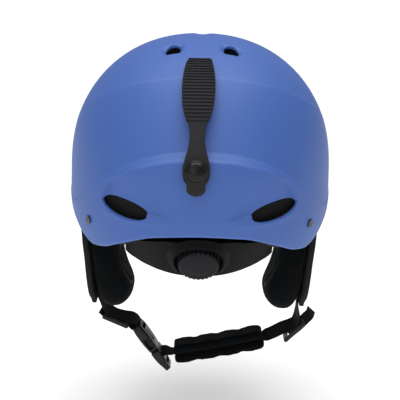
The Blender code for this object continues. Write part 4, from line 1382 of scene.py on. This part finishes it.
# %% [markdown]
# ## Soft pads
#
# The pads are foam wrapped in brushed fleece, so their faces belly out between seams.  Each one
# starts as a plain stack of rounded sections.  A short cloth simulation under a little inner
# pressure lets it swell and crease; the seam rows are held where they are, and no point moves
# further than a few millimetres, so every pad stays in its place.  Stitches are added after.

# %% Inflate


def inflate(obj, cell=5.0, pressure=4.0, reach=2.5, seams=None, frames=20):
    """Even mesh, a short pressure simulation, capped movement, one subdivision."""
    remesh = obj.modifiers.new("even", "REMESH")
    remesh.mode = "VOXEL"
    remesh.voxel_size = cell * MM
    settle(obj)
    rest = np.array([v.co for v in obj.data.vertices]) / MM
    held = obj.vertex_groups.new(name="held")
    for k, place in enumerate(rest):
        held.add([k], seams(place) if seams else 0.0, "REPLACE")
    mod = obj.modifiers.new("cloth", "CLOTH")
    mod.settings.quality = 4
    mod.settings.mass = 0.2
    mod.settings.tension_stiffness = 12
    mod.settings.compression_stiffness = 12
    mod.settings.bending_stiffness = 0.4
    mod.settings.use_pressure = True
    mod.settings.uniform_pressure_force = pressure
    mod.settings.vertex_group_mass = "held"
    mod.settings.effector_weights.gravity = 0
    mod.point_cache.frame_start = 1
    mod.point_cache.frame_end = frames
    scene = bpy.context.scene
    for frame_number in range(1, frames + 1):
        scene.frame_set(frame_number)
    settle(obj)
    scene.frame_set(1)
    moved = np.array([v.co for v in obj.data.vertices]) / MM - rest
    size = np.linalg.norm(moved, axis=1, keepdims=True)
    moved *= np.minimum(1, reach / np.maximum(size, 1e-6))
    obj.data.vertices.foreach_set("co", ((rest + moved) * MM).ravel())
    obj.vertex_groups.clear()
    smooth = obj.modifiers.new("smooth", "SUBSURF")
    smooth.levels = 1
    smooth.render_levels = 1
    settle(obj)
    obj.data.shade_smooth()
    return obj


def squeeze(obj, rule):
    """Move every point by a rule of its place in millimetres."""
    places = np.array([v.co for v in obj.data.vertices]) / MM
    obj.data.vertices.foreach_set("co", (rule(places) * MM).ravel())
    obj.data.update()
    return obj


# %% [markdown]
# Each ear pad hangs from the rim: a thick fleece cushion that leans in to the ear, and outside
# it a thin woven flap bound round the edge with tape.  The cushion has a sunk ring of stitching
# round the ear hollow.

# %% Ear cushions
CUSHION = [(-86, 66, 75, -26, 20), (-90, 64, 77, -34, 27), (-100, 63, 77.4, -40, 31),
           (-110, 63.5, 78, -43, 33), (-119, 64, 88.8, -44, 33), (-135, 64.5, 89.2, -44, 33),
           (-150, 64, 87.8, -42, 31), (-168, 61.5, 86.6, -37, 28), (-183, 59, 85.2, -31, 24),
           (-193, 61, 82.4, -25, 19), (-199, 66.5, 78.5, -16, 11)]
FLAP = [(-103, 97.5, -22, 30), (-110, 97.2, -36, 33), (-118, 96.7, -45, 35), (-135, 95.5, -45, 34),
        (-150, 94, -43, 32), (-168, 92.8, -38, 29), (-183, 91.4, -31, 24), (-192, 89.2, -24, 18)]
FLAP_THICK = 3.2
EAR_MIDDLE = (-6.0, -152.0)
EAR_REACH = (20.0, 28.0)


def level_section(x_low, x_high, y_low, y_high, z, side, power=3.0, count=40):
    """Level ring with rounded corners, mirrored for the left side."""
    cx, cy = (x_low + x_high) / 2, (y_low + y_high) / 2
    hx, hy = (x_high - x_low) / 2, (y_high - y_low) / 2
    ring = []
    for k in range(count):
        a = 2 * math.pi * k / count
        c, s = math.cos(a), math.sin(a)
        x = cx + hx * math.copysign(abs(c) ** (2 / power), c)
        y = cy + hy * math.copysign(abs(s) ** (2 / power), s)
        ring.append((side * x, y, z))
    return ring


def finer(table, steps):
    """Smoothly interpolated rows of a section table, keyed by height."""
    heights = np.linspace(table[0][0], table[-1][0], steps)
    columns = [[(-row[0], row[c]) for row in table] for c in range(1, len(table[0]))]
    return [(h, *(smooth_value(column, -h) for column in columns)) for h in heights]


def build_cushion(side, hand):
    rings = [level_section(lo, hi, back, front, z, side)
             for z, lo, hi, back, front in finer(CUSHION, 40)]
    pad = skin(f"ear_pad_{hand}", rings, PAINT["fleece"])

    def ear_ring(place):
        reach = math.hypot((place[1] - EAR_MIDDLE[0]) / EAR_REACH[0],
                           (place[2] - EAR_MIDDLE[1]) / EAR_REACH[1])
        on_face = side * place[0] < 72
        return 1.0 if on_face and abs(reach - 1) < 0.13 else 0.0

    inflate(pad, cell=4.0, pressure=5.0, reach=2.6, seams=ear_ring)

    def press(places):
        reach = np.hypot((places[:, 1] - EAR_MIDDLE[0]) / EAR_REACH[0],
                         (places[:, 2] - EAR_MIDDLE[1]) / EAR_REACH[1])
        face = 1 - ramp(side * places[:, 0], 68, 76)
        groove = np.exp(-((reach - 1) / 0.09) ** 2) * 2.2
        bowl = (1 - ramp(reach, 0.2, 0.95)) * 3.0
        belly = 4.6 * np.exp(-((places[:, 2] + 180) / 15.0) ** 2)
        places[:, 0] += side * face * (groove + bowl - belly)
        places[:, 0] = side * np.minimum(side * places[:, 0],
                                         np.where(places[:, 2] > -117, 78.6, 91.5))
        return places

    squeeze(pad, press)
    path, outs = [], []
    for k in range(73):
        a = 2 * math.pi * k / 72
        y = EAR_MIDDLE[0] + EAR_REACH[0] * 1.0 * math.cos(a)
        z = EAR_MIDDLE[1] + EAR_REACH[1] * 1.0 * math.sin(a)
        hit, place, _, _ = pad.ray_cast(Vector((0, y, z)) * MM, Vector((side, 0, 0)))
        if hit:
            path.append(tuple(place / MM))
            outs.append((-side, 0, 0))
    if len(path) > 3:
        thread = stitches("ear_ring", path, outs, PAINT["thread"], 3.0, 1.4, 0.55)
        pad = join(f"ear_pad_{hand}", [pad, thread])
    return publish(pad, f"ear_cushion_{hand}", slot="fleece", fill=0.7)


def build_flap(side, hand):
    """Woven outer panel, its binding tape and a row of stitches along the tape."""
    rows = finer(FLAP, 44)
    rings = [level_section(outside - FLAP_THICK + 0.3, outside - 0.3, back + 1, front - 1, z,
                           side, 4.0, 36) for z, outside, back, front in rows]
    panel = skin(f"ear_panel_{hand}", rings, PAINT["flap"], uv=flat_map(rings))
    edge = []
    for z, outside, back, front in rows[2:]:
        edge.append((side * (outside - FLAP_THICK / 2), back + 0.6, z))
    z, outside, back, front = rows[-1]
    for y in np.linspace(back + 4, front - 4, 12):
        edge.append((side * (outside - FLAP_THICK / 2), y, z - 0.6))
    for z, outside, back, front in rows[:1:-1]:
        edge.append((side * (outside - FLAP_THICK / 2), front - 0.6, z))
    edge = curve_points(edge, 150)
    tangents = np.gradient(edge, axis=0)
    rings, outs = [], []
    for place, tangent in zip(edge, tangents):
        t = Vector(tangent).normalized()
        out = Vector((side, 0, 0))
        out = (out - t * out.dot(t)).normalized()
        rim = t.cross(out)
        rings.append([Vector(place) + out * u + rim * v for u, v in rounded(2.0, 1.7, 1.2, 4)])
        outs.append(out)
    tape = skin(f"ear_tape_{hand}", rings, PAINT["binding"], uv=flat_map(rings))
    middle = np.array([side * 92, -4, -146.0])
    inward = middle - edge
    inward[:, 0] = 0
    inward /= np.linalg.norm(inward, axis=1, keepdims=True)
    line = edge + inward * 3.4 + np.array([side * (FLAP_THICK / 2 - 0.25), 0, 0])
    thread = stitches(f"ear_tape_stitches_{hand}", line, outs, PAINT["thread"], 2.6, 1.2, 0.5)
    flap = join(f"ear_flap_bound_{hand}", [panel, tape, thread])
    return publish(flap, f"ear_flap_{hand}", slot="flap_fabric", fill=0.9)


def flat_map(rings):
    """UV in metres: round each ring, and along the rings."""
    rings = np.array([[tuple(p) for p in ring] for ring in rings], float)
    steps = np.linalg.norm(np.diff(rings.mean(axis=1), axis=0), axis=1)
    along = np.concatenate([[0], np.cumsum(steps)])
    gaps = np.linalg.norm(np.roll(rings, -1, axis=1) - rings, axis=2).mean(axis=0)
    round_ring = np.concatenate([[0], np.cumsum(gaps)[:-1]])
    return [(round_ring[i] * MM, along[r] * MM) for r in range(len(rings))
            for i in range(rings.shape[1])]


for side, hand in SIDES:
    build_cushion(side, hand)
    build_flap(side, hand)
print("ear pads done")

# %% [markdown]
# Inside the shell the head meets a crown disc, a headband in two halves and the cradle's own
# pad, all fleece.  Long pads are quilted, so the rows held in the simulation are the quilting.

# %% Pads inside


def build_crown_pad():
    profile = [(0, 0.1), (24, 0.1), (27, 0.9), (28, 2.0), (26.5, 3.4), (20, 4.6), (0, 6.2)]
    pad = turned("crown_disc", profile, (0, 0, 0), (0, 0, 1), PAINT["fleece"], 48)
    inflate(pad, cell=4.0, reach=0.9)
    squeeze(pad, lambda p: np.stack([p[:, 0], p[:, 1], np.clip(p[:, 2], 0.0, 6.6)], axis=1))
    return publish(pad, "crown_pad", slot="fleece", fill=0.6)


def build_headband(name, node, start, end, lobes):
    rings = []
    height_top = CAVITY_TOP - WIDEST_Z
    for azimuth in np.linspace(start, end, 90):
        a = math.radians(azimuth)
        radius = outline_radius(azimuth, CAVITY_HALF_WIDTH, CAVITY_HALF_LENGTH)
        share = (azimuth - start) / (end - start)
        tip = math.sqrt(max(0.08, 1 - abs(2 * share - 1) ** 12))
        ring = []
        for u, v in rounded(20 * tip, 2.2, 1.9, 5):
            height = 16 + u
            scale = (1 - (max(height, 0) / height_top) ** DOME_POWER) ** (1 / DOME_POWER)
            r = radius * scale - 3.9 - 0.03 * height + v
            ring.append((r * math.sin(a), -r * math.cos(a), WIDEST_Z + height))
        rings.append(ring)
    pad = skin(name, rings, PAINT["fleece"])

    def quilting(place):
        azimuth = math.degrees(math.atan2(place[0], -place[1])) % 360
        share = (azimuth - start) % 360 / (end - start) * lobes
        return 1.0 if abs(share - round(share)) < 0.05 else 0.0

    inflate(pad, cell=4.2, pressure=4.0, reach=1.6, seams=quilting)

    def crease(places):
        azimuth = np.degrees(np.arctan2(places[:, 0], -places[:, 1])) % 360
        share = (azimuth - start) % 360 / (end - start) * lobes
        groove = np.exp(-((share - np.round(share)) / 0.045) ** 2) * 1.1
        away = places * np.array([1, 1, 0])
        away /= np.linalg.norm(away, axis=1, keepdims=True)
        return places + away * groove[:, None] * 0.8

    squeeze(pad, crease)
    return publish(pad, node, slot="fleece", fill=0.6)


def build_cradle_pad():
    rings = []
    for angle in np.linspace(-54, 54, 86):
        low, high = -17 - abs(angle) * 0.05, 23.5 - angle ** 2 * 0.0038
        rings.append([cradle_point(angle, 58.0 + v, (low + high) / 2 + u)
                      for u, v in rounded((high - low) / 2, 2.1, 1.7, 5)])
    pad = skin("cradle_fleece", rings, PAINT["fleece"])
    inflate(pad, cell=3.6, reach=1.0)
    return publish(pad, "cradle_pad", slot="fleece", body="cradle", fill=0.6)


build_crown_pad()
build_headband("headband_back", "headband_pad_rear", -84, 84, 6)
build_headband("headband_brow", "headband_pad_front", 90, 270, 6)
build_cradle_pad()
print("inside pads done")

# %% [markdown]
# ## Webbing and strap fittings
#
# The chin strap is sixteen-millimetre polyester tape, woven in a small herringbone with a firmer
# edge on each side.  Flat tape is drawn directly, one thin rounded section along its path.  The
# tape between the chin pad and the right adjuster is the piece that gives when the buckle opens;
# here it is one fixed mesh that moves with neither body.

# %% Webbing
STRAP_WIDTH = 16.0
STRAP_THICK = 1.4
STRAP_Y = -2.0
LEFT_STRAP = [(-91.6, -128), (-89.9, -148), (-88.7, -166), (-87.2, -182), (-84.9, -193),
              (-80.5, -201.5), (-73, -208.6), (-64, -211.5), (-56.5, -212.6), (-51.6, -215.6),
              (-49.4, -221.4)]
LEFT_BACK = [(-49.9, -222.6), (-53.6, -221.0), (-58.5, -216.0), (-64, -214.2), (-71, -213.3),
             (-78, -209.0), (-83, -204.5)]
RIGHT_STRAP = [(91.6, -128), (89.9, -148), (88.7, -166), (87.2, -182), (85.4, -193),
               (85.6, -202), (85.4, -210), (82.6, -217.6), (78.2, -223.6)]
CHIN_STRAP = [(-33.2, -247.6), (-31.2, -243.4), (-27.0, -241.8), (-20.5, -242.6), (0, -239.2),
              (20, -235.4), (40, -231.2), (58, -226.9)]
LINK_STRAP = [(54.0, -227.7), (58.6, -226.7), (66, -223.4), (73, -219.6), (79.5, -217.2),
              (85.0, -214.4), (89.5, -211.6)]
TAIL_STRAP = [(80.4, -222.6), (87.5, -216.6), (93.6, -210.2), (96.6, -207), (97.8, -202.6)]
ROLLS = {"tape_left": ((-1.0, 0), (0.6, 0), (0.72, -20), (0.88, -20), (1.0, -4)),
         "tape_left_back": ((0.0, 4), (0.2, 18), (1.0, 20)),
         "tape_right": ((-1.0, 0), (0.7, 0), (0.86, 18), (1.0, 20)),
         "tape_chin": ((0.0, -3), (0.06, -18), (0.12, -8), (0.2, 0)),
         "tape_link": ((0.0, -4), (0.16, -22), (1.0, -24)),
         "tape_tail": ((0.0, -20), (1.0, -18))}


def tape_section():
    """Half the width and thickness of the tape at each point, with a firm selvedge."""
    ring = []
    for v in np.linspace(-1, 1, 17):
        ring.append((v * STRAP_WIDTH / 2, STRAP_THICK / 2 * (0.86 if abs(v) < 0.8 else 1.0)))
    ring[0] = (ring[0][0], STRAP_THICK * 0.28)
    ring[-1] = (ring[-1][0], STRAP_THICK * 0.28)
    return ring + [(v, -h) for v, h in reversed(ring)]


def build_tape(name, node, path, body="root"):
    length = np.linalg.norm(np.diff(np.array(path, float), axis=0), axis=1).sum()
    points = curve_points(path, max(8, int(length / 1.5)))
    _, normals = directions(points)
    rings = []
    for k, (p, n) in enumerate(zip(points, normals)):
        roll = math.radians(smooth_value(ROLLS[name], k / (len(points) - 1)))
        c, s = math.cos(roll), math.sin(roll)
        ring = []
        for v, h in tape_section():
            off = h * c - v * s
            ring.append((p[0] + n[0] * off, STRAP_Y + v * c + h * s, p[1] + n[1] * off))
        rings.append(ring)
    tape = skin(name, rings, PAINT["webbing"], 50, uv=flat_map(rings))
    if body is None:
        return tape
    return publish(tape, node, slot="webbing", body=body)


left_tapes = [build_tape("tape_left", None, LEFT_STRAP, None),
              build_tape("tape_left_back", None, LEFT_BACK, None)]
publish(join("tape_left_pair", left_tapes), "webbing_left", slot="webbing")
build_tape("tape_right", "webbing_right", RIGHT_STRAP)
build_tape("tape_chin", "webbing_chin", CHIN_STRAP, "plug_side")
build_tape("tape_tail", "webbing_tail", TAIL_STRAP)
link = build_tape("tape_link", "webbing_link", LINK_STRAP, None)
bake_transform(link)
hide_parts("webbing_link")
print("webbing done")

# %% Adjusters


def block(name, centre, direction, length, width, thick, paint, chamfer=0.0):
    """Plate along a direction in the X-Z plane, with its width along Y."""
    d = np.array(direction, float)
    d /= np.linalg.norm(d)
    n = np.array([-d[1], d[0]])
    rings = []
    for w in (-width / 2, width / 2):
        ring = []
        for u, v in ((-length / 2 + chamfer, -thick / 2), (length / 2 - chamfer, -thick / 2),
                     (length / 2, -thick / 2 + chamfer), (length / 2, thick / 2 - chamfer),
                     (length / 2 - chamfer, thick / 2), (-length / 2 + chamfer, thick / 2),
                     (-length / 2, thick / 2 - chamfer), (-length / 2, -thick / 2 + chamfer)):
            p = np.array(centre) + d * u + n * v
            ring.append((p[0], STRAP_Y + w, p[1]))
        rings.append(ring)
    return skin(name, rings, paint, 30)


def build_adjuster(hand, centre, direction):
    """Three-bar slide: two windows, a toothed middle bar and rounded rails."""
    frame_piece = block(f"slide_{hand}", centre, direction, 24, 22, 3.4, PAINT["buckle"], 1.0)
    d = np.array(direction, float) / np.linalg.norm(direction)
    carve(frame_piece, [block("window", np.array(centre) + d * offset, direction, 5.2,
                              STRAP_WIDTH + 1, 8, PAINT["buckle"], 0.4)
                        for offset in (-5.4, 5.4)])
    soften(frame_piece, 0.45, 3)
    n = Vector((-d[1], 0, d[0]))
    frames = []
    for y in np.linspace(-6.5, 6.5, 9):
        place = Vector((centre[0], STRAP_Y + y, centre[1])) + n * 1.75
        frames.append((place, (d[0], 0, d[1]), n, (3.6, 0.5, 0.5)))
    grip = copies("slide_grip", bar(sides=8), frames, PAINT["buckle"])
    frame_piece = join(f"slide_{hand}", [frame_piece, grip])
    return publish(frame_piece, f"adjuster_{hand}", slot="buckle_plastic")


build_adjuster("left", (-70.5, -213.9), (9.5, -4.0))
build_adjuster("right", (83.5, -220.6), (9, 8.5))
print("adjusters done")

# %% [markdown]
# The chin pad is four quilted lobes on each side of the tape, sewn through between the lobes.

# %% Chin pad


def build_chin_pad(name, node, sign):
    path = curve_points(CHIN_STRAP, 400)
    inside = path[(path[:, 0] >= -19.8) & (path[:, 0] <= 57.0) & (path[:, 1] > -243)]
    samples = inside[np.linspace(0, len(inside) - 1, 97).astype(int)]
    _, normals = directions(samples)
    rings = []
    for k, (p, n) in enumerate(zip(samples, normals)):
        swell = abs(math.sin(math.pi * k / 24)) ** 0.16
        thick = 7.4 * (0.42 + 0.58 * swell)
        half = 13.0 * (0.84 + 0.16 * swell)
        ring = []
        for u, v in rounded(half, thick / 2, min(thick / 2, 2.6) * 0.95, 6):
            lift = 1.0 + thick / 2 + v
            q = p + n * sign * lift
            ring.append((q[0], STRAP_Y + u, q[1]))
        rings.append(ring)
    pad = skin(name, rings, PAINT["fleece"])
    seams_at = samples[::24]

    def quilting(place):
        gap = min(math.hypot(place[0] - s[0], place[2] - s[1]) for s in seams_at[1:-1])
        away = abs(place[0] - seams_at[np.argmin(np.abs(seams_at[:, 0] - place[0]))][0])
        return 1.0 if away < 1.4 and gap < 12 else 0.0

    inflate(pad, cell=2.2, pressure=3.5, reach=0.7, seams=quilting)
    frames_done = []
    for s in seams_at[1:-1]:
        k = int(np.argmin(np.abs(samples[:, 0] - s[0])))
        n = normals[k] * sign
        line = [(s[0] + n[0] * 3.75, STRAP_Y + y, s[1] + n[1] * 3.75)
                for y in np.linspace(-9.5, 9.5, 12)]
        frames_done.append(stitches("lobe_stitches", line, [(n[0], 0, n[1])] * 12,
                                    PAINT["thread"], 2.2, 1.0, 0.5))
    pad = join(name, [pad, *frames_done])
    return publish(pad, node, slot="fleece", body="plug_side", fill=0.9)


build_chin_pad("chin_lobes_upper", "chin_pad_upper", 1)
build_chin_pad("chin_lobes_lower", "chin_pad_lower", -1)
print("chin pad done")

# %% [markdown]
# ## Side-release buckle
#
# The socket is a hollow box with side windows, and the plug's two springy latches show in them.
# Every edge of the real moulding is rounded, so the blocks are cut first and softened after.

# %% Buckle
BUCKLE_START = np.array([-52.5, -218.5])
BUCKLE_END = np.array([-24.5, -256.0])
BUCKLE_WIDTH = 26.0
BUCKLE_THICK = 9.0
SOCKET_LENGTH = 27.0
PLUG_LENGTH = 46.7
BUCKLE_ALONG = (BUCKLE_END - BUCKLE_START) / np.linalg.norm(BUCKLE_END - BUCKLE_START)
BUCKLE_FACE = np.array([-BUCKLE_ALONG[1], BUCKLE_ALONG[0]])


def buckle_place(u, v, w):
    """Along the buckle, across it in Y, and through its thickness."""
    p = BUCKLE_START + BUCKLE_ALONG * u + BUCKLE_FACE * w
    return (p[0], STRAP_Y + v, p[1])


def buckle_block(name, outline, low, high):
    rings = [[buckle_place(u, v, w) for u, v in outline] for w in (low, high)]
    return skin(name, rings, PAINT["buckle"], 30)


def box_outline(u0, u1, v0, v1):
    return [(u0, v0), (u1, v0), (u1, v1), (u0, v1)]


def build_socket():
    half, thick = BUCKLE_WIDTH / 2, BUCKLE_THICK / 2
    rings = []
    for u in np.linspace(0, SOCKET_LENGTH, 15):
        share = u / SOCKET_LENGTH
        ends = min(1.0, 0.86 + 0.14 * min(share, 1 - share) * 10)
        belly = thick * (0.80 + 0.20 * math.sin(math.pi * min(1, share * 0.9 + 0.12)))
        rings.append([buckle_place(u, v, w) for v, w in
                      rounded(half * ends, belly, 2.4, 5)])
    socket = skin("socket_box", rings, PAINT["buckle"], 40)
    cutters = [buckle_block("mouth", box_outline(9, SOCKET_LENGTH + 5, -half + 2, half - 2),
                            -thick + 1.9, thick - 1.9)]
    for sign in (-1, 1):
        low, high = sorted((sign * (half - 4), sign * (half + 3)))
        cutters.append(buckle_block("side_window", box_outline(13, 23, low, high),
                                    -thick + 2.4, thick - 2.4))
    cutters.append(buckle_block("tape_slot", box_outline(3, 6.6, -8.6, 8.6), -10, 10))
    carve(socket, cutters)
    soften(socket, 0.35, 2, 40)
    rib_frames = []
    face = Vector((BUCKLE_FACE[0], 0, BUCKLE_FACE[1]))
    for u in (10.5, 12.6, 14.7, 16.8, 18.9):
        place = Vector(buckle_place(u, 0, thick * 0.99))
        rib_frames.append((place, (0, 1, 0), face, (12.5 - abs(u - 14.7), 0.5, 0.45)))
    grips = copies("socket_ribs", bar(sides=8), rib_frames, PAINT["buckle"])
    socket = join("socket_moulding", [socket, grips])
    return publish(socket, "buckle_socket", slot="buckle_plastic")


def build_plug():
    half, thick = BUCKLE_WIDTH / 2, BUCKLE_THICK / 2
    rings = []
    for u in np.linspace(SOCKET_LENGTH + 0.4, PLUG_LENGTH, 13):
        share = (u - SOCKET_LENGTH) / (PLUG_LENGTH - SOCKET_LENGTH)
        ends = 1 - 0.16 * ramp(share, 0.55, 1.0)
        belly = thick * (0.86 - 0.34 * ramp(share, 0.25, 1.0))
        rings.append([buckle_place(u, v, w) for v, w in rounded(half * ends, belly, 1.8, 5)])
    plug = skin("plug_body", rings, PAINT["buckle"], 40)
    cutters = [buckle_block("bar_slot", box_outline(31, 36, -9, 9), -10, 10),
               buckle_block("end_slot", box_outline(39.5, 43.5, -9, 9), -10, 10)]
    carve(plug, cutters)
    soften(plug, 0.35, 2, 40)
    tongue = buckle_block("tongue", [(12.6, -2.0), (13.4, -3), (SOCKET_LENGTH + 1, -3),
                                     (SOCKET_LENGTH + 1, 3), (13.4, 3), (12.6, 2.0)], -2, 2)
    soften(tongue, 0.4, 2)
    plug = join("plug_moulding", [plug, tongue])
    return publish(plug, "buckle_plug", slot="buckle_plastic", body="plug_side")


def build_latch(name, sign, body):
    arm = [(SOCKET_LENGTH - 0.4, sign * 5.0), (SOCKET_LENGTH - 0.4, sign * 7.4),
           (23, sign * 8.4), (22.2, sign * 10.6), (14, sign * 10.2), (12.4, sign * 8.6),
           (14, sign * 6.8), (20, sign * 6.0)]
    piece = buckle_block(f"{name}_arm", arm, -1.7, 1.7)
    soften(piece, 0.35, 3)
    frames = []
    for u in (15.2, 16.8, 18.4, 20.0):
        at = Vector(buckle_place(u, sign * (10.25 + (u - 14) * 0.05), 0))
        face = Vector((BUCKLE_FACE[0], 0, BUCKLE_FACE[1]))
        frames.append((at, face, (0, sign, 0), (2.9, 0.35, 0.35)))
    grip = copies(f"{name}_grip", bar(sides=8), frames, PAINT["buckle"])
    piece = join(f"{name}_moulding", [piece, grip])
    return publish(piece, name, slot="buckle_plastic", body=body)


build_socket()
build_plug()
build_latch("latch_back", -1, "latch_b")
build_latch("latch_front", 1, "latch_f")
print("buckle done")
